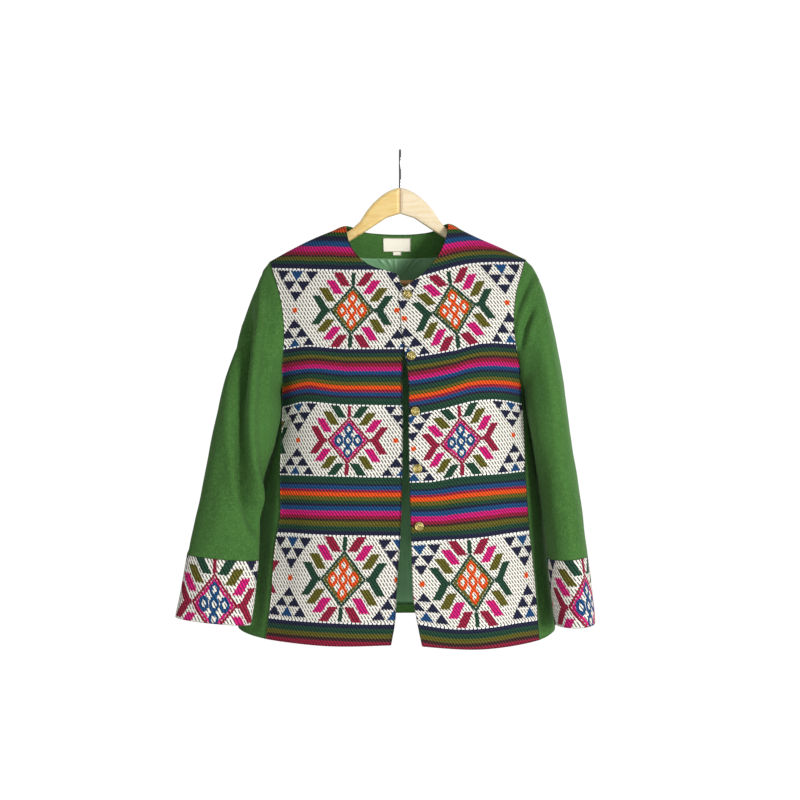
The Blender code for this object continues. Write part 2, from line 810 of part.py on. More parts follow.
def inside_point(grid, row, column, inset):
    """A point between the back's rows and columns, moved inwards."""
    top, left = min(int(row), len(grid) - 2), min(int(column), len(grid[0]) - 2)
    down, across = row - top, column - left
    total = Vector((0.0, 0.0, 0.0))
    for row_step, row_share in ((0, 1 - down), (1, down)):
        for column_step, column_share in ((0, 1 - across), (1, across)):
            point = Vector(grid[top + row_step][left + column_step])
            normal = grid_normal(grid, top + row_step, left + column_step)
            total += (point - normal * inset) * row_share * column_share
    return total


def make_inside(name, grid, rows, columns, inset, wall):
    """A piece that lies inside the back, made from the back's points."""
    points = []
    for row in rows:
        points.append([inside_point(grid, row, column, inset) for column in columns])
    return wall_object(name, points, wall)


def column_at(grid, row, x):
    """The back's column, between two of its own, that lies at x in a row."""
    places = [-point[0] for point in grid[row]]
    return float(np.interp(-x, places, range(len(places))))


def row_at(grid, column, z):
    """The back's row, between two of its own, that lies at a height."""
    heights = [-line[column][2] for line in grid]
    return float(np.interp(-z, heights, range(len(heights))))


def make_inside_pieces(grid):
    """The facing, the lining, the hem turning, the label and its tab."""
    centre = len(grid[0]) // 2
    neck = range(centre - NECK_COLUMNS, centre + NECK_COLUMNS + 1)
    every = range(len(grid[0]))
    gap_rows = SEAM_GAP / ROW_HEIGHT
    facing_inset = (WALL + FACING_WALL) / 2 + FACING_GAP
    hem_inset = (WALL + FACING_WALL) / 2 + SEAM_GAP
    lining_inset = (WALL + LINING_WALL) / 2 + SEAM_GAP
    label_inset = facing_inset + (FACING_WALL + LABEL_WALL) / 2 + FACING_GAP
    lining_rows = [FACING_STEPS + gap_rows] + list(range(FACING_STEPS + 1, BACK_ROWS - 1))
    lining_rows.append(BACK_ROWS - 1 - gap_rows)
    facing_rows = range(FACING_STEPS + 1)
    hem_rows = (BACK_ROWS - 1 + gap_rows, BACK_ROWS)
    pieces = {
        "neck_facing": make_inside("neck_facing", grid, facing_rows, neck, facing_inset, FACING_WALL),
        "lining_back": make_inside("lining_back", grid, lining_rows, every, lining_inset, LINING_WALL),
        "hem_band": make_inside("hem_band", grid, hem_rows, every, hem_inset, FACING_WALL),
    }
    sizes = {
        "neck_label": (LABEL_WIDTH, LABEL_TOP_Z, LABEL_TOP_Z - LABEL_HEIGHT),
        "size_tab": (TAB_WIDTH, LABEL_TOP_Z - LABEL_HEIGHT - SEAM_GAP, TAB_FOOT_Z),
    }
    for name, (width, top, foot) in sizes.items():
        ends = [column_at(grid, FACING_STEPS - 1, LABEL_X + half * width / 2) for half in (1, -1)]
        inner = [step for step in neck if ends[0] < step < ends[1]]
        rows = [row_at(grid, centre, top), row_at(grid, centre, foot)]
        between = [step for step in range(FACING_STEPS) if rows[0] < step < rows[1]]
        rows = [rows[0]] + between + [rows[1]]
        columns = [ends[0]] + inner + [ends[1]]
        pieces[name] = make_inside(name, grid, rows, columns, label_inset, LABEL_WALL)
    return pieces


def upper_front_point(x, z):
    """A point on the middle of the upper front's cloth."""
    return Vector((x, face_y(LEFT, x, z, "front") + front_lap(LEFT, x), z))


def make_stud(index, x, z):
    """A press stud's brass cap, turned about its own axis."""
    mesh = bmesh.new()
    points = []
    for radius_share, height_share in STUD_PROFILE:
        points.append(mesh.verts.new((STUD_RADIUS * radius_share, 0.0, STUD_HEIGHT * height_share)))
    for first, second in zip(points, points[1:]):
        mesh.edges.new((first, second))
    data = bpy.data.meshes.new("stud")
    mesh.to_mesh(data)
    mesh.free()
    stud = bpy.data.objects.new("stud_%d" % index, data)
    screw = stud.modifiers.new("Turned", "SCREW")
    screw.axis = "Z"
    screw.steps = STUD_STEPS
    screw.render_steps = STUD_STEPS
    screw.use_merge_vertices = True
    screw.merge_threshold = 0.00005
    here = upper_front_point(x, z)
    across = upper_front_point(x + STUD_RADIUS, z)
    down = upper_front_point(x, z - STUD_RADIUS)
    normal = (across - here).cross(down - here).normalized()
    if normal.y > 0:
        normal.negate()
    stud.rotation_mode = "QUATERNION"
    stud.rotation_quaternion = normal.to_track_quat("Z", "Y")
    stud.location = here + normal * (WALL / 2 + STUD_GAP)
    return stud


def wood_top_z(side, x):
    """The upper edge of the wooden arm."""
    shoulder_x = RIDGE_ROWS[side][0][0]
    if x < shoulder_x:
        shoulder_z = ridge_z(side, shoulder_x) - RIDGE_CLEARANCE - NECK_CLEARANCE
        dome = np.array(DOME_ROWS + ((shoulder_x, shoulder_z),))
        return smooth_curve(dome[:, 0], dome[:, 1], x)
    near = 1 - ease((x - shoulder_x) / CLEARANCE_FADE)
    return ridge_z(side, x) - RIDGE_CLEARANCE - NECK_CLEARANCE * near


def make_arm(side):
    """Half of the wooden hanger, cut from a board and rounded along its edges."""
    outline = [(x, wood_top_z(side, x)) for x in ARM_TOP_X]
    outline.append((ARM_END_X, wood_top_z(side, ARM_END_X) - ARM_END_DROP))
    outline += ARM_LOW_ROWS
    curve = bpy.data.curves.new("arm", "CURVE")
    curve.dimensions = "2D"
    curve.fill_mode = "BOTH"
    curve.extrude = WOOD_THICKNESS / 2 - WOOD_EDGE
    curve.bevel_depth = WOOD_EDGE
    curve.bevel_resolution = 1
    curve.offset = -WOOD_EDGE
    spline = curve.splines.new("POLY")
    spline.points.add(len(outline) - 1)
    for point, (x, z) in zip(spline.points, outline):
        point.co = (side * x, z, 0.0, 1.0)
    spline.use_cyclic_u = True
    arm = bpy.data.objects.new("hanger_arm_" + SIDE_NAMES[side], curve)
    arm.rotation_euler = (math.radians(90), 0.0, 0.0)
    return arm


def make_wire(name, points, radius):
    """A round rod or wire along its points, with filled ends."""
    curve = bpy.data.curves.new(name, "CURVE")
    curve.dimensions = "3D"
    curve.bevel_depth = radius
    curve.bevel_resolution = 2
    curve.use_fill_caps = True
    spline = curve.splines.new("POLY")
    spline.points.add(len(points) - 1)
    for point, place in zip(spline.points, points):
        point.co = (*place, 1.0)
    return bpy.data.objects.new(name, curve)


def make_bar():
    """The trouser bar between the arms."""
    end = BAR_END_X
    return make_wire("hanger_bar", [(-end, 0.0, BAR_Z), (end, 0.0, BAR_Z)], BAR_RADIUS)


def make_hook():
    """The wire hook, whose bend lies across the hanger's length."""
    centre_z = -(BEND_RADIUS - WIRE_RADIUS)
    points = [(0.0, 0.0, DOME_TOP_Z + SEAM_GAP), (0.0, 0.0, centre_z - BEND_RADIUS - HOOK_STEM)]
    start, end, step = HOOK_TURN
    for degrees in range(start, end + 1, step):
        turn = math.radians(degrees)
        points.append((0.0, BEND_RADIUS * math.cos(turn), centre_z + BEND_RADIUS * math.sin(turn)))
    return make_wire("hanger_hook", points, WIRE_RADIUS)


def finish(name):
    """A plain finish by name."""
    colour, roughness, metallic = FINISHES[name]
    material = bpy.data.materials.new(name)
    material.use_nodes = True
    shader = material.node_tree.nodes["Principled BSDF"]
    shader.inputs["Base Color"].default_value = (*colour, 1.0)
    shader.inputs["Roughness"].default_value = roughness
    shader.inputs["Metallic"].default_value = metallic
    return material


def clear_scene():
    """Remove every object that is there at the start."""
    for item in list(bpy.data.objects):
        bpy.data.objects.remove(item, do_unlink=True)


def main():
    clear_scene()
    collection = bpy.data.collections.new("wool_jacket")
    bpy.context.scene.collection.children.link(collection)
    finishes = {name: finish(name) for name in FINISHES}

    def add(piece, finish_name):
        piece.data.materials.append(finishes[finish_name])
        collection.objects.link(piece)

    for side in (RIGHT, LEFT):
        add(make_front(side), "brocade")
        add(make_side(side), "wool")
        add(make_sleeve(side), "wool")
        add(make_cuff(side), "brocade")
        add(make_arm(side), "wood")
    grid = back_grid()
    add(wall_object("back", grid, WALL), "wool")
    inside_finish = {"lining_back": "satin", "neck_label": "label", "size_tab": "label"}
    for name, piece in make_inside_pieces(grid).items():
        add(piece, inside_finish.get(name, "wool"))
    for index, (x, z) in enumerate(STUD_ROWS, start=1):
        add(make_stud(index, x, z), "brass")
    add(make_bar(), "wood")
    add(make_hook(), "steel")


main()
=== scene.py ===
"""The wool jacket on its hanger, dressed for the picture.

Metres, +Z up. The fronts face -Y and the wearer's left is at +X.
"""

import math
from functools import partialmethod

import bpy
import numpy as np
from mathutils import Matrix, Vector


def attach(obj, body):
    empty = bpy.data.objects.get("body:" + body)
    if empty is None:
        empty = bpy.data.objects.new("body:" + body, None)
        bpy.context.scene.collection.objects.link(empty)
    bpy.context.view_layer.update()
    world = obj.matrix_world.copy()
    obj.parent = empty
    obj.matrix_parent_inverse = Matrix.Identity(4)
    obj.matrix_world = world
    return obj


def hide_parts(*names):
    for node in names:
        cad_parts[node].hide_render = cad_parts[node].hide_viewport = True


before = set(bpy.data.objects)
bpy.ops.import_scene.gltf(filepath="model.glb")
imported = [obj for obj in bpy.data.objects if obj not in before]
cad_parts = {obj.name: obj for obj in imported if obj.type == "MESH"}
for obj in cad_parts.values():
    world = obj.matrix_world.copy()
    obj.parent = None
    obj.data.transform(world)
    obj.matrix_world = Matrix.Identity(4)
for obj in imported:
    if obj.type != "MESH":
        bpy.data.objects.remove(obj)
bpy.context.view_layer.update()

# Camera: level, straight on, far enough for the photograph's mild perspective
CAMERA_Y = -2.07
CAMERA_Z = -0.396
PHOTO_PIXELS = 800
PHOTO_MIDDLE = 400
FOCAL_PIXELS = 1298.7
SENSOR = 36.0
PIXEL = 0.00154
MILLIMETRE = 0.001

lens = bpy.data.cameras.new("camera")
lens.sensor_width = SENSOR
lens.lens = SENSOR * FOCAL_PIXELS / PHOTO_PIXELS
camera = bpy.data.objects.new("camera", lens)
camera.location = (0.0, CAMERA_Y, CAMERA_Z)
camera.rotation_euler = (math.radians(90), 0.0, 0.0)
bpy.context.scene.collection.objects.link(camera)
bpy.context.scene.camera = camera

RIGHT = -1
LEFT = 1
SIDE_NAMES = {RIGHT: "right", LEFT: "left"}

# Cloth thicknesses and the gaps between sewn pieces
WALL = 0.0020
FACING_WALL = 0.0015
LINING_WALL = 0.0010
LABEL_WALL = 0.0010
SEAM_GAP = 0.0003
FACING_GAP = 0.0006
SIDE_SEAM_GAP = {RIGHT: 0.0009, LEFT: 0.0005}
SHOULDER_GAP = 0.0010
ARMHOLE_GAP = 0.0010
UNDERARM_GAP = 0.0029
CUFF_GAP = 0.0004
STUD_GAP = 0.0005

# The overlap of the fronts: its step, and how far from the centre it fades out
LAP = 0.0014
LAP_FLAT = 0.020
LAP_FADE = 0.050

# The body's depth closes to the shoulder ridge over this height
CROWN_HEIGHT = 0.110
INNER_RIDGE_SLOPE = 0.42

# Body sections, from the shoulders down to the hem
# reach: half-width at the side, front and back: depth at the centre,
# side_y: where the side lies, round: how square the section is
BODY_COLUMNS = ("z", "reach_right", "reach_left", "front", "back", "side_y", "round")
BODY_ROWS = (
    (-0.110, 0.2420, 0.2360, 0.044, 0.040, 0.000, 3.0),
    (-0.180, 0.2380, 0.2320, 0.047, 0.044, 0.000, 3.0),
    (-0.230, 0.2300, 0.2250, 0.052, 0.048, 0.000, 3.0),
    (-0.273, 0.2215, 0.2170, 0.057, 0.051, 0.000, 3.0),
    (-0.320, 0.2060, 0.2060, 0.062, 0.055, 0.001, 3.0),
    (-0.345, 0.1965, 0.1995, 0.065, 0.057, 0.003, 3.0),
    (-0.368, 0.1893, 0.1950, 0.067, 0.060, 0.005, 3.0),
    (-0.405, 0.1908, 0.2015, 0.069, 0.063, 0.013, 2.9),
    (-0.442, 0.1950, 0.2082, 0.071, 0.066, 0.018, 2.8),
    (-0.497, 0.2110, 0.2190, 0.072, 0.070, 0.023, 2.7),
    (-0.537, 0.2230, 0.2260, 0.072, 0.073, 0.028, 2.6),
    (-0.600, 0.2300, 0.2330, 0.072, 0.077, 0.033, 2.5),
    (-0.650, 0.2370, 0.2380, 0.072, 0.081, 0.036, 2.4),
    (-0.700, 0.2470, 0.2430, 0.071, 0.085, 0.038, 2.4),
    (-0.780, 0.2670, 0.2530, 0.070, 0.090, 0.041, 2.4),
)
DEPTH_ROUND_SHARE = 0.72

# Shoulder ridges, neck to tip
RIDGE_ROWS = {
    RIGHT: ((0.0870, -0.1195), (0.1435, -0.1426), (0.1750, -0.1585), (0.2064, -0.1760)),
    LEFT: ((0.0775, -0.1160), (0.1220, -0.1378), (0.1586, -0.1537), (0.1989, -0.1728)),
}

# Front neck edges, from the shoulder to the front edge, x towards the piece's own side
NECK_ROWS = {
    RIGHT: (
        (0.0870, -0.1195), (0.0805, -0.1478), (0.0693, -0.1680), (0.0547, -0.1815), (0.0268, -0.1930),
        (0.0100, -0.1980), (-0.0180, -0.2070),
    ),
    LEFT: (
        (0.0775, -0.1160), (0.0724, -0.1424), (0.0623, -0.1669), (0.0505, -0.1840), (0.0378, -0.1990),
        (0.0185, -0.2094), (0.0008, -0.2181),
    ),
}

# Front edges, from the neck to the hem, x towards the piece's own side
EDGE_ROWS = {
    RIGHT: (
        (-0.0180, -0.2070), (-0.0120, -0.2700), (-0.0050, -0.3190), (-0.0037, -0.4580),
        (0.0015, -0.6300), (0.0055, -0.6780), (0.0085, -0.7410), (0.0143, -0.7735),
    ),
    LEFT: (
        (0.0008, -0.2181), (0.0030, -0.2880), (0.0074, -0.3190), (0.0131, -0.3570), (0.0139, -0.4420),
        (0.0185, -0.6290), (0.0216, -0.7060), (0.0345, -0.7750),
    ),
}

# Armholes in front and at the back, from the shoulder tip to the side panel
ARMHOLE_ROWS = {
    (RIGHT, "front"): (
        (0.2064, -0.1760), (0.1953, -0.2083), (0.1881, -0.2327), (0.1819, -0.2733), (0.1811, -0.2990),
        (0.1829, -0.3250), (0.1850, -0.3450),
    ),
    (RIGHT, "back"): (
        (0.2064, -0.1760), (0.2000, -0.2083), (0.1955, -0.2327), (0.1905, -0.2733), (0.1885, -0.2990),
        (0.1875, -0.3250), (0.1870, -0.3450),
    ),
    (LEFT, "front"): (
        (0.1989, -0.1728), (0.1883, -0.2068), (0.1818, -0.2304), (0.1785, -0.2592), (0.1792, -0.2896),
        (0.1830, -0.3200), (0.1880, -0.3450),
    ),
    (LEFT, "back"): (
        (0.1989, -0.1728), (0.1945, -0.2068), (0.1910, -0.2304), (0.1880, -0.2592), (0.1875, -0.2896),
        (0.1885, -0.3200), (0.1900, -0.3450),
    ),
}
UNDERARM_Z = -0.3680

# Side seams of the brocade, and the hem's height round the body
SEAM_ROWS = {
    RIGHT: (
        (0.1850, -0.3450), (0.1868, -0.4420), (0.1884, -0.5190), (0.1888, -0.5860), (0.1947, -0.6130),
        (0.2036, -0.7150), (0.2104, -0.7715),
    ),
    LEFT: (
        (0.1880, -0.3450), (0.1950, -0.4420), (0.1967, -0.5120), (0.2002, -0.5620), (0.2036, -0.6030),
        (0.2119, -0.6720), (0.2198, -0.7760),
    ),
}
BACK_SEAM_SHARE = 0.952
BACK_SEAM_ANGLE = 130.0
HEM_ROWS = (
    (0.0, -0.7745), (30.0, -0.7780), (60.0, -0.7745), (90.0, -0.7660), (130.0, -0.7560),
    (180.0, -0.7490),
)
HEM_SAG = {RIGHT: 0.0030, LEFT: 0.0060}
HEM_SAG_POWER = 3
BACK_NECK_Z = -0.1290
BACK_NECK_POWER = 3

# Large drape folds of the back: x at the centre, depth, half-width, top, foot
BACK_FOLD_ROWS = (
    (-0.118, 0.0080, 0.034, -0.250, -0.780),
    (0.012, 0.0040, 0.028, -0.420, -0.780),
    (0.128, 0.0070, 0.036, -0.300, -0.780),
)
FRONT_FOLD_ROWS = (
    (-0.110, 0.0035, 0.040, -0.520, -0.780),
    (0.120, 0.0030, 0.040, -0.480, -0.780),
)

# Sleeves: outer and inner fold lines, half-depth and middle of each section
SLEEVE_COLUMNS = ("out_x", "out_z", "in_x", "in_z", "depth", "middle")
SLEEVE_ROWS = {
    RIGHT: (
        (0.2179, -0.1904, 0.1935, -0.3700, 0.0490, 0.000),
        (0.2325, -0.2292, 0.1940, -0.3750, 0.0530, -0.001),
        (0.2470, -0.2670, 0.1940, -0.3830, 0.0560, -0.002),
        (0.2617, -0.3070, 0.1935, -0.3950, 0.0570, -0.006),
        (0.2730, -0.3477, 0.1932, -0.4120, 0.0570, -0.011),
        (0.2860, -0.3960, 0.1940, -0.4380, 0.0560, -0.017),
        (0.2950, -0.4360, 0.1985, -0.4660, 0.0530, -0.021),
        (0.3035, -0.4755, 0.2090, -0.4970, 0.0500, -0.024),
        (0.3108, -0.5150, 0.2180, -0.5320, 0.0460, -0.028),
        (0.3180, -0.5541, 0.2200, -0.5660, 0.0420, -0.031),
        (0.3280, -0.5980, 0.2205, -0.6080, 0.0370, -0.035),
        (0.3370, -0.6410, 0.2215, -0.6505, 0.0320, -0.040),
    ),
    LEFT: (
        (0.2091, -0.1802, 0.1985, -0.3700, 0.0490, 0.000),
        (0.2237, -0.2117, 0.2000, -0.3740, 0.0530, -0.001),
        (0.2336, -0.2506, 0.2010, -0.3810, 0.0560, -0.002),
        (0.2431, -0.2872, 0.2020, -0.3920, 0.0570, -0.005),
        (0.2527, -0.3382, 0.2042, -0.4120, 0.0570, -0.010),
        (0.2627, -0.3966, 0.2092, -0.4434, 0.0570, -0.018),
        (0.2711, -0.4437, 0.2155, -0.4800, 0.0560, -0.021),
        (0.2760, -0.4740, 0.2190, -0.5050, 0.0550, -0.023),
        (0.2817, -0.5050, 0.2230, -0.5300, 0.0540, -0.024),
        (0.2911, -0.5665, 0.2280, -0.5800, 0.0530, -0.025),
        (0.2960, -0.6050, 0.2310, -0.6150, 0.0520, -0.026),
        (0.3006, -0.6410, 0.2330, -0.6470, 0.0510, -0.027),
    ),
}
CUFF_ROWS = {
    RIGHT: (
        (0.3410, -0.6640, 0.2240, -0.6740, 0.0310, -0.042),
        (0.3465, -0.6970, 0.2275, -0.7080, 0.0290, -0.044),
        (0.3530, -0.7335, 0.2335, -0.7455, 0.0260, -0.045),
    ),
    LEFT: (
        (0.3035, -0.6677, 0.2354, -0.6720, 0.0500, -0.027),
        (0.3090, -0.7060, 0.2400, -0.7100, 0.0490, -0.027),
        (0.3112, -0.7440, 0.2445, -0.7480, 0.0480, -0.027),
    ),
}

# Sleeve creases: height at both ends, place round the sleeve at both ends in degrees, depth, width
CREASE_ROWS = {
    RIGHT: (
        (-0.250, -0.470, 40.0, 92.0, 0.0060, 30.0),
        (-0.440, -0.590, 92.0, 150.0, 0.0055, 30.0),
        (-0.330, -0.600, 250.0, 290.0, 0.0050, 32.0),
    ),
    LEFT: (
        (-0.205, -0.300, 50.0, 105.0, 0.0045, 28.0),
        (-0.380, -0.600, 80.0, 60.0, 0.0040, 30.0),
        (-0.300, -0.560, 290.0, 250.0, 0.0050, 32.0),
    ),
}
CREASE_FULLNESS = 0.7

# The sleeve's head: rings that lead in from the armhole, its roundness, and how far
# round from the underarm the sleeve stands off the body
HEAD_ROWS = 4
HEAD_ROUNDNESS = 1.15
EVEN_ROWS = 5
UNDERARM_SPREAD = 0.25

# Grid counts
ARMHOLE_STEPS = 9
NECK_STEPS = 7
BODY_STEPS = 13
FRONT_ROWS = ARMHOLE_STEPS + BODY_STEPS
BACK_ROWS = ARMHOLE_STEPS + BODY_STEPS + 1
FACING_STEPS = 4
UNDERARM_STEPS = 3
FRONT_COLUMNS = 11
NECK_COLUMNS = 3
SHOULDER_COLUMNS = 5
SIDE_COLUMNS = 2 * UNDERARM_STEPS
SLEEVE_AROUND = 2 * (ARMHOLE_STEPS + UNDERARM_STEPS)
ARMHOLE_EASE = 2.0
NECK_EASE = 1.9

# Inside the back: facing, lining, hem turning, label, and the usual height of a row
ROW_HEIGHT = 0.030
FACING_DROP = 0.036
HEM_BAND_HEIGHT = 0.014
LABEL_WIDTH = 0.0445
LABEL_HEIGHT = 0.0210
LABEL_X = -0.0055
LABEL_TOP_Z = -0.1335
TAB_WIDTH = 0.0135
TAB_FOOT_Z = -0.1605

# Press studs on the wearer's left front
STUD_RADIUS = 0.0072
STUD_HEIGHT = 0.0030
STUD_ROWS = (
    (0.0118, -0.2323), (0.0174, -0.3278), (0.0234, -0.4133), (0.0270, -0.5016), (0.0293, -0.5900),
)


def named_table(columns, rows):
    """The rows as a dict with one array for each named column."""
    return dict(zip(columns, np.array(rows, dtype=float).T))


def hermite(t, width, start, end, leave, arrive):
    """A cubic between two values that leaves and arrives with given slopes."""
    begin = (1 + 2 * t) * (1 - t) ** 2 * start
    finish = t * t * (3 - 2 * t) * end
    return begin + finish + t * (1 - t) ** 2 * width * leave + t * t * (t - 1) * width * arrive


def smooth_curve(knots, values, at):
    """A value on a smooth curve through a table, held at both ends."""
    order = np.argsort(knots)
    knots = np.asarray(knots, dtype=float)[order]
    values = np.asarray(values, dtype=float)[order]
    at = min(max(at, knots[0]), knots[-1])
    slopes = np.gradient(values, knots)
    low = min(int(np.searchsorted(knots, at, side="right")) - 1, len(knots) - 2)
    width = knots[low + 1] - knots[low]
    ends = (values[low], values[low + 1], slopes[low], slopes[low + 1])
    return float(hermite((at - knots[low]) / width, width, *ends))


def step_lengths(points):
    """The lengths of a path's steps."""
    return np.linalg.norm(np.diff(points, axis=0), axis=1)


def running(steps):
    """How far along a path each of its points lies."""
    return np.concatenate([[0.0], np.cumsum(steps)])


def along_path(points, share):
    """The point at a share of a smooth path's length."""
    points = np.array(points)
    lengths = running(step_lengths(points))
    at = share * lengths[-1]
    return [smooth_curve(lengths, values, at) for values in points.T]


def ease(value):
    """A smooth step from 0 to 1."""
    value = min(max(value, 0.0), 1.0)
    return value * value * (3 - 2 * value)


BODY = named_table(BODY_COLUMNS, BODY_ROWS)


def body_value(name, z):
    """One column of the body sections at a height."""
    return smooth_curve(BODY["z"], BODY[name], z)


def reach_at(side, z):
    """The body's half-width on one side at a height."""
    return body_value("reach_" + SIDE_NAMES[side], z)


def ridge_z(side, x):
    """The shoulder ridge's height, carried on over the neck hole."""
    neck_x, neck_z = RIDGE_ROWS[side][0]
    if x < neck_x:
        return neck_z + INNER_RIDGE_SLOPE * (neck_x - x)
    return smooth_curve(*zip(*RIDGE_ROWS[side]), x)


def crown_share(side, x, z):
    """How far the depth has opened below the shoulder ridge, from 0 to 1."""
    below = min(max((ridge_z(side, x) - z) / CROWN_HEIGHT, 0.0), 1.0)
    return math.sqrt(1 - (1 - below) ** 2)


def fold_offset(folds, x, z):
    """The sum of the soft vertical folds at a place, outwards."""
    total = 0.0
    for centre, depth, width, top, foot in folds:
        down = ease((top - z) / (top - foot))
        total += depth * down * math.exp(-(((x - centre) / width) ** 2))
    return total


def face_y(side, x, z, face):
    """The depth of the front or back at a place, x towards the piece's own side."""
    share = min(abs(x) / reach_at(side, z), 1.0)
    power = body_value("round", z)
    full = max(1 - share**power, 0.0) ** (1 / (DEPTH_ROUND_SHARE * power))
    middle = body_value("side_y", z)
    opened = full * crown_share(side, x, z)
    if face == "front":
        fold = fold_offset(FRONT_FOLD_ROWS, side * x, z)
        return middle - (body_value("front", z) + middle + fold) * opened
    fold = fold_offset(BACK_FOLD_ROWS, side * x, z)
    return middle + (body_value("back", z) - middle + fold) * opened


def ring_angle(side, x, z, face):
    """The angle round the body, 0 at centre front and 180 at centre back."""
    share = min(max(x / reach_at(side, z), 0.0), 1.0)
    angle = math.degrees(math.asin(share ** (body_value("round", z) / 2)))
    return angle if face == "front" else 180 - angle


def ring_point(side, angle, z):
    """The point of the body at an angle and a height."""
    share = abs(math.sin(math.radians(angle))) ** (2 / body_value("round", z))
    x = share * reach_at(side, z)
    face = "front" if angle < 90 else "back"
    return side * x, face_y(side, x, z, face), z


def hem_z(angle):
    """The hem's height at an angle round the body."""
    return smooth_curve(*zip(*HEM_ROWS), angle)


def armhole_share(step):
    """How far down the front or back armhole a step lies."""
    return (step / ARMHOLE_STEPS) ** ARMHOLE_EASE


def armhole_edge(side, face, step):
    """A point of the armhole's front or back edge, in the piece's own x."""
    return along_path(ARMHOLE_ROWS[(side, face)], armhole_share(step))


def seam_x(rows, z):
    """How far out a seam lies at a height."""
    x, heights = np.array(rows).T
    return smooth_curve(heights, x, z)


def down_rows(first, last, steps, step):
    """A height on the way down from the first to the last."""
    return first + (last - first) * step / steps


def front_inner(side, row):
    """The front panel's inner boundary: neck edge, then front edge."""
    if row <= NECK_STEPS:
        return along_path(NECK_ROWS[side], (row / NECK_STEPS) ** NECK_EASE)
    rows = EDGE_ROWS[side]
    z = down_rows(rows[0][1], rows[-1][1], FRONT_ROWS - NECK_STEPS, row - NECK_STEPS)
    return seam_x(rows, z), z


def front_outer(side, row):
    """The front panel's outer boundary: armhole, then side seam."""
    if row <= ARMHOLE_STEPS:
        x, z = armhole_edge(side, "front", row)
        return x - ARMHOLE_GAP / 2, z
    rows = SEAM_ROWS[side]
    z = down_rows(rows[0][1], rows[-1][1], BODY_STEPS, row - ARMHOLE_STEPS)
    return seam_x(rows, z) - SIDE_SEAM_GAP[side] / 2, z


def front_lap(side, x):
    """The overlap's small step, outwards for the upper front."""
    near = 1 - ease((abs(x) - LAP_FLAT) / LAP_FADE)
    return -side * LAP * near


def across_front(side, row, share):
    """The place at a share of the width between a front panel's boundaries."""
    ends = zip(front_inner(side, row), front_outer(side, row))
    return [inner + (outer - inner) * share for inner, outer in ends]


def front_point(side, row, share):
    """A point of a front panel, by row and by share of its width."""
    x, z = across_front(side, row, share)
    top_x, straight = across_front(side, 0, share)
    fade = max(0.0, 1 - row / NECK_STEPS)
    z += (ridge_z(side, top_x) - straight) * fade
    z -= HEM_SAG[side] * math.sin(math.pi * share) * (row / FRONT_ROWS) ** HEM_SAG_POWER
    y = face_y(side, x, z, "front") + front_lap(side, x)
    if row == 0:
        y = -SHOULDER_GAP / 2
    return side * x, y, z


def back_outer(side, row):
    """The back panel's side boundary: armhole, then side seam, then hem turning."""
    if row <= ARMHOLE_STEPS:
        x, z = armhole_edge(side, "back", row)
        return x - ARMHOLE_GAP / 2, z
    top = ARMHOLE_ROWS[(side, "back")][-1][1]
    foot = hem_z(BACK_SEAM_ANGLE)
    z = down_rows(top, foot + HEM_BAND_HEIGHT, BODY_STEPS, row - ARMHOLE_STEPS)
    if row == BACK_ROWS:
        z = foot
    return back_seam_x(side, z) - SIDE_SEAM_GAP[side] / 2, z


def back_seam_x(side, z):
    """Where the back meets the side panel."""
    return BACK_SEAM_SHARE * reach_at(side, z)


def back_neck_z(side, x):
    """The back neck edge, level at the centre and rising to the shoulder."""
    neck_x, neck_z = RIDGE_ROWS[side][0]
    return BACK_NECK_Z + (neck_z - BACK_NECK_Z) * min(x / neck_x, 1.0) ** BACK_NECK_POWER


def back_centre_z(row):
    """The heights of the back's middle column."""
    if row <= ARMHOLE_STEPS:
        return BACK_NECK_Z - FACING_DROP * armhole_share(row) / armhole_share(FACING_STEPS)
    if row == BACK_ROWS:
        return hem_z(180.0)
    chest = back_centre_z(ARMHOLE_STEPS)
    return down_rows(chest, hem_z(180.0) + HEM_BAND_HEIGHT, BODY_STEPS, row - ARMHOLE_STEPS)


def neck_corner(side):
    """The neck's corner, as a share of the back's half-width."""
    return RIDGE_ROWS[side][0][0] / RIDGE_ROWS[side][-1][0]


def back_shares(side):
    """The back's columns, with one at the neck's corner."""
    corner = neck_corner(side)
    shares = [corner * step / NECK_COLUMNS for step in range(NECK_COLUMNS)]
    for step in range(SHOULDER_COLUMNS + 1):
        shares.append(corner + (1 - corner) * step / SHOULDER_COLUMNS)
    return shares


def back_point(side, row, share):
    """A point of the back, by row and by share of its half-width."""
    outer_x, outer_z = back_outer(side, row)
    tip_x, tip_z = back_outer(side, 0)
    corner = neck_corner(side) - 1e-6
    blend = share**2
    x = outer_x * share
    z = back_centre_z(row) * (1 - blend) + outer_z * blend
    top_x = tip_x * share
    top = back_neck_z(side, top_x) if share < corner else ridge_z(side, top_x)
    straight = BACK_NECK_Z * (1 - blend) + tip_z * blend
    z += (top - straight) * max(0.0, 1 - row / ARMHOLE_STEPS)
    y = face_y(side, x, z, "back")
    if row == 0 and share >= corner:
        y = SHOULDER_GAP / 2
    return side * x, y, z


def back_grid():
    """The back's points, from the wearer's left to the right."""
    grid = []
    for row in range(BACK_ROWS + 1):
        left = [back_point(LEFT, row, share) for share in reversed(back_shares(LEFT)[1:])]
        centre = [back_point(RIGHT, row, 0.0)]
        right = [back_point(RIGHT, row, share) for share in back_shares(RIGHT)[1:]]
        grid.append(left + centre + right)
    return grid


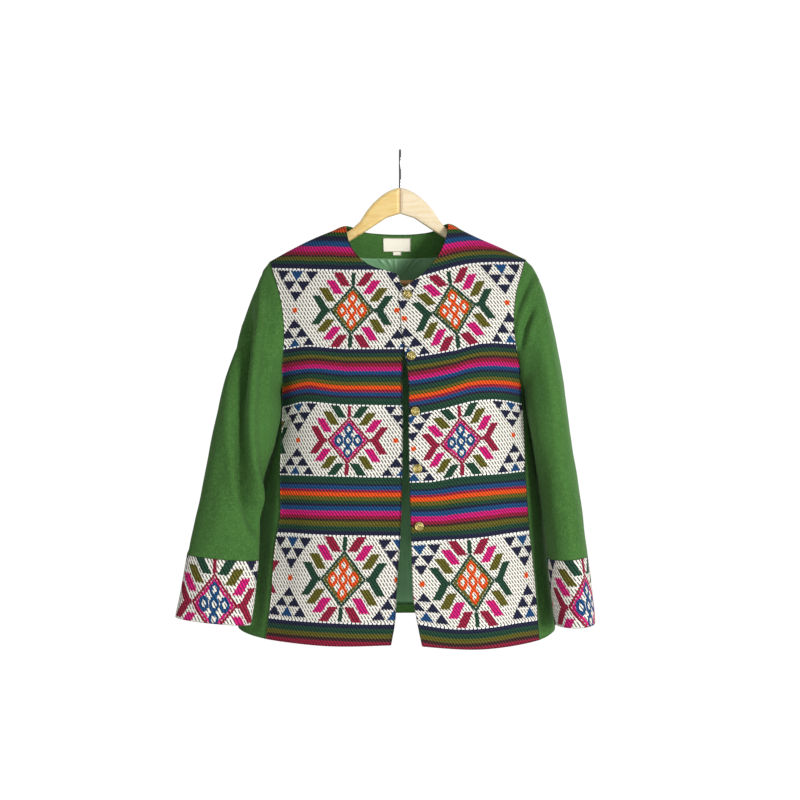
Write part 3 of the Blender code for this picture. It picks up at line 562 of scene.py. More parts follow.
def loop_point(side, station):
    """A point of the armhole loop: 0 at the shoulder, halfway at the underarm."""
    half = ARMHOLE_STEPS + UNDERARM_STEPS
    face = "front" if station <= half else "back"
    step = station if station <= half else SLEEVE_AROUND - station
    if step <= ARMHOLE_STEPS:
        x, z = armhole_edge(side, face, step)
        return x, face_y(side, x, z, face) if step else 0.0, z
    x_top, z_top = ARMHOLE_ROWS[(side, face)][-1]
    share = (step - ARMHOLE_STEPS) / UNDERARM_STEPS
    turn = math.sin(math.radians(90 * share))
    z = z_top + (UNDERARM_Z - z_top) * turn
    pit_x = reach_at(side, UNDERARM_Z)
    x = x_top + (pit_x - x_top) * share
    start = face_y(side, x_top, z_top, face)
    middle = body_value("side_y", UNDERARM_Z)
    y = middle + (start - middle) * math.cos(math.radians(90 * share))
    return x, y, z


def side_point(side, column, row):
    """A point of a side panel, from its front seam round to its back seam."""
    top_x, top_y, top_z = loop_point(side, ARMHOLE_STEPS + column)
    share = column / SIDE_COLUMNS
    front_foot = SEAM_ROWS[side][-1][1]
    foot = front_foot + (hem_z(BACK_SEAM_ANGLE) - front_foot) * share
    z = down_rows(top_z, foot, BODY_STEPS, row)
    seams = {"front": seam_x(SEAM_ROWS[side], z), "back": back_seam_x(side, z)}
    if column in (0, SIDE_COLUMNS):
        face = "back" if column else "front"
        x = seams[face] + SIDE_SEAM_GAP[side] / 2
        return side * x, face_y(side, x, z, face), z
    if row == 0:
        return side * top_x, top_y, top_z
    start, end = (ring_angle(side, x, z, face) for face, x in seams.items())
    return ring_point(side, start + (end - start) * share, z)


def crease_offset(side, angle, z):
    """The sleeve's soft creases at a place, as a depth inwards."""
    total = 0.0
    for top, foot, start, end, depth, width in CREASE_ROWS[side]:
        share = (z - top) / (foot - top)
        if not 0 < share < 1:
            continue
        centre = start + (end - start) * share
        near = math.exp(-(((angle - centre) / width) ** 2))
        total += depth * near * math.sin(math.pi * share) ** CREASE_FULLNESS
    return total


def station_angle(side, station):
    """The station's angle round the armhole loop by its length."""
    steps = step_lengths([loop_point(side, index) for index in range(SLEEVE_AROUND + 1)])
    half = SLEEVE_AROUND // 2
    if station <= half:
        return 180 * sum(steps[:station]) / sum(steps[:half])
    return 180 + 180 * sum(steps[half:station]) / sum(steps[half:])


def section_point(side, row, angle, columns):
    """A point of a sleeve section: 0 degrees is its outer fold, 90 its front."""
    values = dict(zip(SLEEVE_COLUMNS, columns[row]))
    turn = math.radians(angle)
    across = (1 + math.cos(turn)) / 2
    x = values["in_x"] + (values["out_x"] - values["in_x"]) * across
    z = values["in_z"] + (values["out_z"] - values["in_z"]) * across
    inward = crease_offset(side, angle, z)
    y = values["middle"] - (values["depth"] - inward) * math.sin(turn)
    x -= inward * math.cos(turn)
    return side * x, y, z


def sleeve_grid(side):
    """The sleeve's rings, from the armhole loop to the wrist."""
    grid = [[]]
    for station in range(SLEEVE_AROUND):
        x, y, z = loop_point(side, station)
        under = ease(1 - abs(station / SLEEVE_AROUND - 0.5) / UNDERARM_SPREAD)
        x += ARMHOLE_GAP / 2 + UNDERARM_GAP * under
        grid[0].append((side * x, y, z))
    stations = range(SLEEVE_AROUND)
    turns = [(360 * station / SLEEVE_AROUND, station_angle(side, station)) for station in stations]
    for row in range(len(SLEEVE_ROWS[side])):
        settled = ease((row + 1) / EVEN_ROWS)
        angles = [own + (even - own) * settled for even, own in turns]
        grid.append([Vector(section_point(side, row, angle, SLEEVE_ROWS[side])) for angle in angles])
    for row in range(1, HEAD_ROWS):
        share = row / HEAD_ROWS
        for station in range(SLEEVE_AROUND):
            straight = Vector(grid[0][station]).lerp(grid[HEAD_ROWS][station], share)
            grid[row][station] = straight.lerp(grid[row][station], ease(share * HEAD_ROUNDNESS))
    return grid


def column_at(grid, row, x):
    """The back's column, between two of its own, that lies at x in a row."""
    places = [-point[0] for point in grid[row]]
    return float(np.interp(-x, places, range(len(places))))


def row_at(grid, column, z):
    """The back's row, between two of its own, that lies at a height."""
    heights = [-line[column][2] for line in grid]
    return float(np.interp(-z, heights, range(len(heights))))


# How much brighter than their own colour things look under the studio's light
LIGHT = 1.3
LABEL_LIGHT = 1.0


def colour(code, light=LIGHT):
    """A linear colour that shows as a six-figure screen code under the studio's light."""
    parts = [int(code[index : index + 2], 16) / 255 for index in (0, 2, 4)]
    linear = [part / 12.92 if part <= 0.04045 else ((part + 0.055) / 1.055) ** 2.4 for part in parts]
    return (*[part / light for part in linear], 1.0)


NAVY = colour("272a43")
BLUE = colour("205082")
MAGENTA = colour("d61f78")
CRIMSON = colour("9c2440")
ORANGE = colour("f4571e")
OLIVE = colour("676224")
PINE = colour("264a38")
MOSS = colour("325828")
PLUM = colour("352842")
BROWN = colour("442c2c")
IVORY = colour("fffcf4")
CREAM = colour("e9e4d2")
# Painted shade: the dark laid into the grooves between the brocade's thread floats
SHADE = colour("34332f")

# The brocade's measures are in pixels of the photograph, each 1.54 mm of cloth
# Striped bands: where each stripe starts, and its colour
STRIPE_ROWS = (
    (
        (200.0, NAVY), (226.5, ORANGE), (232.4, MOSS), (236.4, NAVY), (241.2, BLUE), (246.4, MAGENTA),
        (251.4, CRIMSON), (255.0, BROWN), (257.0, OLIVE), (260.8, PINE), (264.2, NAVY),
    ),
    (
        (349.2, NAVY), (353.2, PINE), (357.2, OLIVE), (360.8, BROWN), (363.5, CRIMSON), (367.3, MAGENTA),
        (370.9, BLUE), (374.5, NAVY), (376.8, PINE), (381.9, OLIVE), (385.6, ORANGE), (389.5, CRIMSON),
        (392.2, BLUE), (395.7, PLUM), (397.9, PINE),
    ),
    (
        (476.6, PINE), (483.6, NAVY), (485.3, BLUE), (489.3, CRIMSON), (491.6, ORANGE), (496.0, OLIVE),
        (500.4, PINE), (503.4, NAVY), (505.8, BLUE), (510.3, MAGENTA), (515.0, CRIMSON), (518.2, BROWN),
        (520.7, OLIVE), (526.0, PINE), (530.4, NAVY),
    ),
    ((624.0, NAVY), (628.3, PINE), (633.5, OLIVE), (638.0, BROWN), (641.6, CRIMSON)),
)
# How far a striped band starts above its first stripe, and ends below the top of its last one
STRIPE_START = 1.0
STRIPE_END = 6.0
# White bands: top, foot, their medallions' middle, and how far those and the triangles are drawn in
WHITE_COLUMNS = ("top", "foot", "middle", "shorten", "narrow", "gather")
WHITE_ROWS = (
    (269.4, 349.2, 310.4, 1.0, 1.0, 1.0),
    (404.6, 476.6, 440.6, 1.085, 1.035, 1.09),
    (535.0, 624.0, 579.3, 0.885, 0.955, 0.96),
)
# Threads of a medallion: fork and outer line, inner line, lattice, three dashes from the fork up
MEDALLION_COLUMNS = ("fork", "inner", "lattice", "near", "middle", "far")
MEDALLIONS = {
    "green": (PINE, OLIVE, ORANGE, OLIVE, MAGENTA, CRIMSON),
    "red": (CRIMSON, MAGENTA, BLUE, MAGENTA, OLIVE, PINE),
}
CUFF_HALF = 49.8
DIAMOND_WIDE = 22.1
DIAMOND_HIGH = 25.4
OUTER_LINE = (0.885, 1.02)
INNER_LINE = (0.70, 0.885)
STITCH_LINE = (0.855, 0.885)
STITCH_STEP = 3.0
STITCH_SHARE = 0.55
RING_WIDE = 4.7
RING_HIGH = 6.7
RING_LINE = (0.44, 1.0)
RING_CORNER = 0.74
LATTICE_REACH = 0.775
RING_PLACES = ((0.0, 0.0), (0.0, 12.4), (9.9, 0.0))
DASH_PLACES = ((21.3, 8.9), (14.3, 16.6), (7.3, 24.5))
DASH_LEAN = 0.66
DASH_HALF = 4.6
DASH_HIGH = 13.8
FORK_START = 27.3
FORK_GAP = 2.0
FORK_LEAN = 0.66
FORK_HALF = 4.2
FORK_HIGH = 14.8
STEM_HALF = 2.3
STUB_HALF = 2.7
STUB_TAPER = -0.022
STUB_END = 38.0
TRIANGLE_PLACES = ((0.0, 8.4), (7.6, 18.6), (0.0, 28.8), (15.2, 28.8))
TRIANGLE_HIGH = 10.0
TRIANGLE_HALF = 7.2
DOT_HALF = 2.4
DOT_SHIFT = 9.5
EDGE_LINE = 1.4
EDGE_DASH = 4.2
EDGE_SHARE = 0.68
# Slanting threads: how far apart, how far over on the way down, how long, and moved on in each course
FLOAT_PITCH = 3.3
FLOAT_LEAN = 0.62
FLOAT_HIGH = 4.1
FLOAT_SHIFT = 0.35
# How far from a thread's middle its gap starts and is full, and from a course's middle its end
GAP_EDGES = (0.29, 0.13)
END_EDGES = (0.34, 0.47)
# Unevenness of the weave: how fine each kind is, and how far it moves courses, threads and figures
DRIFT_FINE = 0.16
WOBBLE_FINE = 0.5
GRAIN_FINE = 1.4
COURSE_DRIFT = 0.8
THREAD_DRIFT = 0.6
FIGURE_WOBBLE = 1.7
FIGURE_STAGGER = 1.1
# How fine the noises of each finish are, in waves a metre
WOOL_FIBRE, WOOL_TUFT, WOOL_RIB, WOOL_CLOUD = 900.0, 170.0, 420.0, 9.0
SATIN_THREAD, SATIN_CLOUD = 1400.0, 16.0
LABEL_RIB, BRASS_PATINA, STEEL_STREAK = 1500.0, 420.0, 500.0
WOOD_GRAIN, WOOD_PORE = 60.0, 900.0
# A knot in the wood: its place, the weight of height against width, and where it starts and is full
KNOT = (-0.0657, -0.1348)
KNOT_FLAT = 1.6
KNOT_EDGES = (0.0052, 0.0012)
# How deep the relief of each finish is, in metres
BROCADE_DEEP, WOOL_DEEP, SATIN_DEEP, LABEL_DEEP, WOOD_DEEP = 0.0006, 0.0007, 0.0002, 0.0003, 0.0002
WHITE = named_table(WHITE_COLUMNS, WHITE_ROWS)


class Sum:
    """A number made by shader nodes, for patterns that lie on cloth."""

    def __init__(self, tree, socket):
        self.tree = tree
        self.socket = socket

    def make(self, operation, *others):
        """A new sum by one math node."""
        node = add_node(self.tree, "Math", enumerate((self, *others)), operation=operation)
        return Sum(self.tree, node.outputs[0])

    __add__ = partialmethod(make, "ADD")
    __sub__ = partialmethod(make, "SUBTRACT")
    __mul__ = partialmethod(make, "MULTIPLY")
    __truediv__ = partialmethod(make, "DIVIDE")
    __lt__ = partialmethod(make, "LESS_THAN")
    __gt__ = partialmethod(make, "GREATER_THAN")
    __abs__ = partialmethod(make, "ABSOLUTE")

    def __rsub__(self, other):
        return self * -1.0 + other

    def either(self, other):
        """The larger of two sums."""
        return self.make("MAXIMUM", other)

    def within(self, low, high):
        """1 between two limits and 0 outside."""
        return (self > low) * (self < high)

    def step(self, low, high):
        """A smooth rise from 0 to 1 between two limits."""
        inputs = {"Value": self, "From Min": low, "From Max": high}
        node = add_node(self.tree, "MapRange", inputs, interpolation_type="SMOOTHSTEP")
        return Sum(self.tree, node.outputs["Result"])


def fill(tree, node, inputs):
    """Puts numbers, colours, sums or other nodes' outputs into a node."""
    for slot, value in dict(inputs).items():
        if isinstance(value, Sum):
            value = value.socket
        if isinstance(value, bpy.types.NodeSocket):
            tree.links.new(value, node.inputs[slot])
        else:
            node.inputs[slot].default_value = value
    return node


def add_node(tree, kind, inputs=(), **settings):
    """A new node with its settings and inputs."""
    node = tree.nodes.new("ShaderNode" + kind)
    for setting, value in settings.items():
        setattr(node, setting, value)
    return fill(tree, node, inputs)


def blend_colours(tree, share, first, second):
    """A colour between two, each an output or a fixed colour."""
    return add_node(tree, "Mix", {0: share, 6: first, 7: second}, data_type="RGBA").outputs[2]


def new_material(name, values):
    """A material with its tree and shader, and the shader's values."""
    material = bpy.data.materials.new(name)
    material.use_nodes = True
    tree = material.node_tree
    return material, tree, fill(tree, tree.nodes["Principled BSDF"], values)


def noise(tree, scale, detail=2.0, stretch=(1.0, 1.0, 1.0), place=None):
    """A soft noise from 0 to 1 on the object's own place."""
    if place is None:
        place = add_node(tree, "TexCoord").outputs["Object"]
    mapping = add_node(tree, "Mapping", {"Vector": place, "Scale": stretch})
    inputs = {"Vector": mapping.outputs["Vector"], "Scale": scale, "Detail": detail}
    return Sum(tree, add_node(tree, "TexNoise", inputs).outputs["Fac"])


def paint(tree, shader, base, height=None, distance=0.0, strength=1.0):
    """Gives a material its colour, and a fine relief under the light."""
    fill(tree, shader, {"Base Color": base})
    if height is not None:
        bump = add_node(tree, "Bump", {"Height": height, "Distance": distance, "Strength": strength})
        fill(tree, shader, {"Normal": bump.outputs["Normal"]})


def split_place(tree, place, axes):
    """Some of a place's coordinates."""
    split = add_node(tree, "SeparateXYZ", {"Vector": place})
    return [Sum(tree, split.outputs[axis]) for axis in axes]


def cloth_place(tree):
    """The cloth's own coordinates, across and down, and half its repeat, in pixels of the photograph."""
    cloth, spacing = (add_node(tree, "UVMap", uv_map=name).outputs["UV"] for name in ("Cloth", "Spacing"))
    return *split_place(tree, cloth, "XY"), *split_place(tree, spacing, "X"), cloth


def stripe_colour(tree, down, rows):
    """The colour of a striped band, by how far down the cloth it is."""
    start, end = rows[0][0], rows[-1][0] + STRIPE_END
    node = add_node(tree, "ValToRGB", {"Fac": (down - start) / (end - start)})
    ramp = node.color_ramp
    ramp.interpolation = "CONSTANT"
    while len(ramp.elements) < len(rows):
        ramp.elements.new(1.0)
    for element, (top, tint) in zip(ramp.elements, rows):
        element.position = (top - start) / (end - start)
        element.color = tint
    return node.outputs["Color"]


def medallion_colour(tree, across, down, half, ground, dot_shift):
    """The woven figures of the white bands over their ground, and where they are."""
    is_red = down.within(WHITE["top"][1], WHITE["foot"][1])
    below_first = down > WHITE["foot"][0]
    below_second = down > WHITE["foot"][1]

    def banded(column):
        first, second, third = WHITE[column]
        return below_first * (second - first) + below_second * (third - second) + first

    from_middle = across.make("PINGPONG", half)
    aside = from_middle * banded("narrow")
    up = abs(down - banded("middle"))
    away = up * banded("shorten")
    risen = up * banded("gather")
    other = abs(across) > half
    swapped = abs(is_red - other)
    tint = {}
    for name, green, red in zip(MEDALLION_COLUMNS, MEDALLIONS["green"], MEDALLIONS["red"]):
        tint[name] = blend_colours(tree, swapped, green, red)
    layers = []
    diamond = aside / DIAMOND_WIDE + away / DIAMOND_HIGH
    layers.append((diamond.within(*INNER_LINE), tint["inner"]))
    stitches = diamond.within(*STITCH_LINE) * ((away / STITCH_STEP).make("FRACT") < STITCH_SHARE)
    layers.append((stitches, CREAM))
    layers.append((diamond.within(*OUTER_LINE), tint["fork"]))
    stub = (aside < (away * STUB_TAPER + STUB_HALF)) * away.within(DIAMOND_HIGH, STUB_END)
    arm = abs(aside - away * FORK_LEAN - FORK_START) < FORK_HALF
    fork = arm * (away < FORK_HIGH) * (aside > DIAMOND_WIDE + FORK_GAP)
    stem = (away < STEM_HALF) * aside.within(DIAMOND_WIDE, FORK_START)
    layers.append((stub.either(fork).either(stem), tint["fork"]))
    for (start_across, start_away), name in zip(DASH_PLACES, ("near", "middle", "far")):
        along = away - start_away
        dash = (abs(aside - start_across - along * DASH_LEAN) < DASH_HALF) * along.within(0.0, DASH_HIGH)
        layers.append((dash, tint[name]))
    for ring_across, ring_away in RING_PLACES:
        beside = abs(aside - ring_across) / RING_WIDE
        above = abs(away - ring_away) / RING_HIGH
        ring = ((beside + above) * RING_CORNER).either(beside).either(above)
        layers.append((ring.within(*RING_LINE) * (diamond < LATTICE_REACH), tint["lattice"]))
    from_axis = half - from_middle
    for index, (place, apex) in enumerate(TRIANGLE_PLACES):
        wide = (risen - apex) * (TRIANGLE_HALF / TRIANGLE_HIGH)
        triangle = (abs(from_axis - place) < wide) * risen.within(apex, apex + TRIANGLE_HIGH)
        layers.append((triangle, BLUE if index == 2 else NAVY))
    shifted = (across > 0.0) * (1.0 - below_second) * dot_shift
    layers.append(((abs(from_axis - shifted) < DOT_HALF) * (away < DOT_HALF), ORANGE))
    figure = ground
    covered = layers[0][0]
    for mask, tint_socket in layers:
        figure = blend_colours(tree, mask, figure, tint_socket)
        covered = covered.either(mask)
    return figure, covered


def brocade_finish(name, dot_shift=0.0):
    """Brocade: striped bands, and white bands with woven medallions, all of slanting threads."""
    values = {"Roughness": 0.9, "Specular IOR Level": 0.12, "Sheen Weight": 0.02}
    material, tree, shader = new_material(name, values)
    plain_across, plain_down, half, place = cloth_place(tree)
    drift = noise(tree, DRIFT_FINE, 1.0, place=place) - 0.5
    wobble = noise(tree, WOBBLE_FINE, 1.0, place=place) - 0.5
    courses = plain_down / FLOAT_HIGH + drift * COURSE_DRIFT
    course = courses.make("FRACT")
    leaning = (course - 0.5) * (FLOAT_HIGH * FLOAT_LEAN) - courses.make("FLOOR") * FLOAT_SHIFT
    thread = ((plain_across - leaning) / FLOAT_PITCH + drift * THREAD_DRIFT).make("FRACT")
    gap = abs(thread - 0.5).step(*GAP_EDGES)
    end = abs(course - 0.5).step(*END_EDGES)
    grain = noise(tree, GRAIN_FINE, 2.0, place=place)
    across = plain_across + wobble * FIGURE_WOBBLE + drift
    down = plain_down + wobble + (thread - 0.5) * FIGURE_STAGGER
    ivory = blend_colours(tree, grain.step(0.3, 0.6), CREAM, IVORY)
    # Painted shade: the ground goes dark in the grooves between thread floats, broken at the thread ends and
    # varied by the grain
    dark = gap * (end * -0.85 + 1.0) * (grain * 0.5 + 0.68)
    ground = blend_colours(tree, dark, ivory, SHADE)
    figure, covered = medallion_colour(tree, across, down, half, ground, dot_shift)
    is_white = plain_down.within(WHITE["top"][0], WHITE["foot"][0])
    border = abs(plain_down - WHITE["top"][0] - EDGE_LINE / 2)
    for top, foot in zip(WHITE["top"][1:], WHITE["foot"][1:]):
        is_white = is_white.either(plain_down.within(top, foot))
        border = border.make("MINIMUM", abs(plain_down - top - EDGE_LINE / 2))
    for foot in WHITE["foot"]:
        border = border.make("MINIMUM", abs(plain_down - foot + EDGE_LINE / 2))
    stripes = stripe_colour(tree, down, STRIPE_ROWS[0])
    for rows in STRIPE_ROWS[1:]:
        in_band = plain_down > rows[0][0] - STRIPE_START
        stripes = blend_colours(tree, in_band, stripes, stripe_colour(tree, down, rows))
    result = blend_colours(tree, is_white, stripes, figure)
    on_border = border < EDGE_LINE / 2
    dashes = (plain_across / EDGE_DASH).make("FRACT") < EDGE_SHARE
    result = blend_colours(tree, on_border, result, NAVY)
    result = blend_colours(tree, on_border * dashes, result, IVORY)
    coloured = (is_white * -1.0 + 1.0).either(covered) * (on_border * -1.0 + 1.0)
    # Painted shade and tone: stripes and figures darken in the grooves between thread floats and at their
    # ends, with random tone from the grain
    groove_shade_and_grain = coloured * (gap * 0.68 + end * 0.2 + grain * 0.5 - 0.30) * -1.0 + 1.0
    groove_shaded_colour = add_node(tree, "VectorMath", {0: result, "Scale": groove_shade_and_grain}, operation="SCALE").outputs[0]
    paint(tree, shader, groove_shaded_colour, gap * -0.7 + end * -0.2 + grain * 0.4, BROCADE_DEEP, 0.8)
    return material


def wool_finish():
    """Milled wool: melange of greens under a short nap."""
    values = {"Roughness": 0.95, "Specular IOR Level": 0.15}
    values.update({"Sheen Weight": 0.10, "Sheen Tint": (0.42, 0.55, 0.34, 1.0)})
    material, tree, shader = new_material("wool", values)
    fibre = noise(tree, WOOL_FIBRE, 3.0)
    tuft = noise(tree, WOOL_TUFT, 3.0)
    rib = noise(tree, WOOL_RIB, 2.0, stretch=(1.0, 1.0, 3.0))
    cloud = noise(tree, WOOL_CLOUD, 2.0)
    base = blend_colours(tree, fibre.step(0.34, 0.66), colour("2f5223"), colour("558641"))
    base = blend_colours(tree, tuft.step(0.38, 0.66) * 0.6, base, colour("3a632c"))
    base = blend_colours(tree, cloud.step(0.3, 0.7) * 0.35, base, colour("4a7a3c"))
    paint(tree, shader, base, fibre * 0.5 + tuft * 0.7 + rib * 0.5, WOOL_DEEP, 0.6)
    return material


def satin_finish():
    """Green satin lining."""
    values = {"Roughness": 0.38, "Specular IOR Level": 0.3, "Anisotropic": 0.5, "Sheen Weight": 0.05}
    material, tree, shader = new_material("satin", values)
    thread = noise(tree, SATIN_THREAD, 1.0, stretch=(1.0, 1.0, 0.15))
    cloud = noise(tree, SATIN_CLOUD, 2.0)
    base = blend_colours(tree, cloud.step(0.3, 0.7), colour("6fa273"), colour("92c694"))
    base = blend_colours(tree, thread * 0.3, base, colour("5f9468"))
    paint(tree, shader, base, thread, SATIN_DEEP, 0.3)
    return material


def label_finish():
    """Plain white woven label."""
    material, tree, shader = new_material("label", {"Roughness": 0.75, "Sheen Weight": 0.05})
    rib = noise(tree, LABEL_RIB, 1.0, stretch=(1.0, 1.0, 4.0))
    base = blend_colours(tree, rib, colour("e0dac8", LABEL_LIGHT), colour("f4efe2", LABEL_LIGHT))
    paint(tree, shader, base, rib, LABEL_DEEP, 0.4)
    return material


def brass_finish():
    """Aged brass, darker where it is worn less."""
    material, tree, shader = new_material("brass", {"Metallic": 1.0})
    patina = noise(tree, BRASS_PATINA, 3.0)
    base = blend_colours(tree, patina.step(0.35, 0.7), colour("8d7c3e", 1.0), colour("cfc48c", 1.0))
    paint(tree, shader, base)
    fill(tree, shader, {"Roughness": patina * 0.25 + 0.25})
    return material


def wood_finish(name, light, dark, knot=None):
    """Pale lacquered wood with its grain along the arm, and a knot at a place on the front."""
    values = {"Roughness": 0.38, "Coat Weight": 0.25, "Coat Roughness": 0.2}
    material, tree, shader = new_material(name, values)
    grain = noise(tree, WOOD_GRAIN, 4.0, stretch=(0.35, 3.0, 3.0))
    pore = noise(tree, WOOD_PORE, 2.0, stretch=(0.06, 1.0, 1.0))
    base = blend_colours(tree, grain.step(0.35, 0.68), colour(light), colour(dark))
    base = blend_colours(tree, pore.step(0.55, 0.75) * 0.25, base, colour("b98546"))
    if knot:
        place = add_node(tree, "TexCoord").outputs["Object"]
        aside, up = (line - middle for line, middle in zip(split_place(tree, place, "XZ"), knot))
        away = (aside * aside + up * up * KNOT_FLAT).make("SQRT")
        base = blend_colours(tree, away.step(*KNOT_EDGES) * 0.85, base, colour("b5812f"))
    paint(tree, shader, base, pore, WOOD_DEEP, 0.2)
    return material


def steel_finish():
    """Dark plated wire."""
    material, tree, shader = new_material("steel", {"Roughness": 0.30, "Metallic": 1.0})
    streak = noise(tree, STEEL_STREAK, 2.0, stretch=(1.0, 1.0, 0.1))
    paint(tree, shader, blend_colours(tree, streak, colour("4b4c50", 1.0), colour("77787c", 1.0)))
    return material


FINISHES = {
    "brocade": brocade_finish("brocade"),
    "brocade_right": brocade_finish("brocade_right", DOT_SHIFT),
    "wool": wool_finish(),
    "satin": satin_finish(),
    "label": label_finish(),
    "brass": brass_finish(),
    "wood_left": wood_finish("wood_left", "f9e8c6", "f1dbb0"),
    "wood_right": wood_finish("wood_right", "f4d68e", "ecc676", KNOT),
    "wood_bar": wood_finish("wood_bar", "dca25c", "c07f3c"),
    "steel": steel_finish(),
}
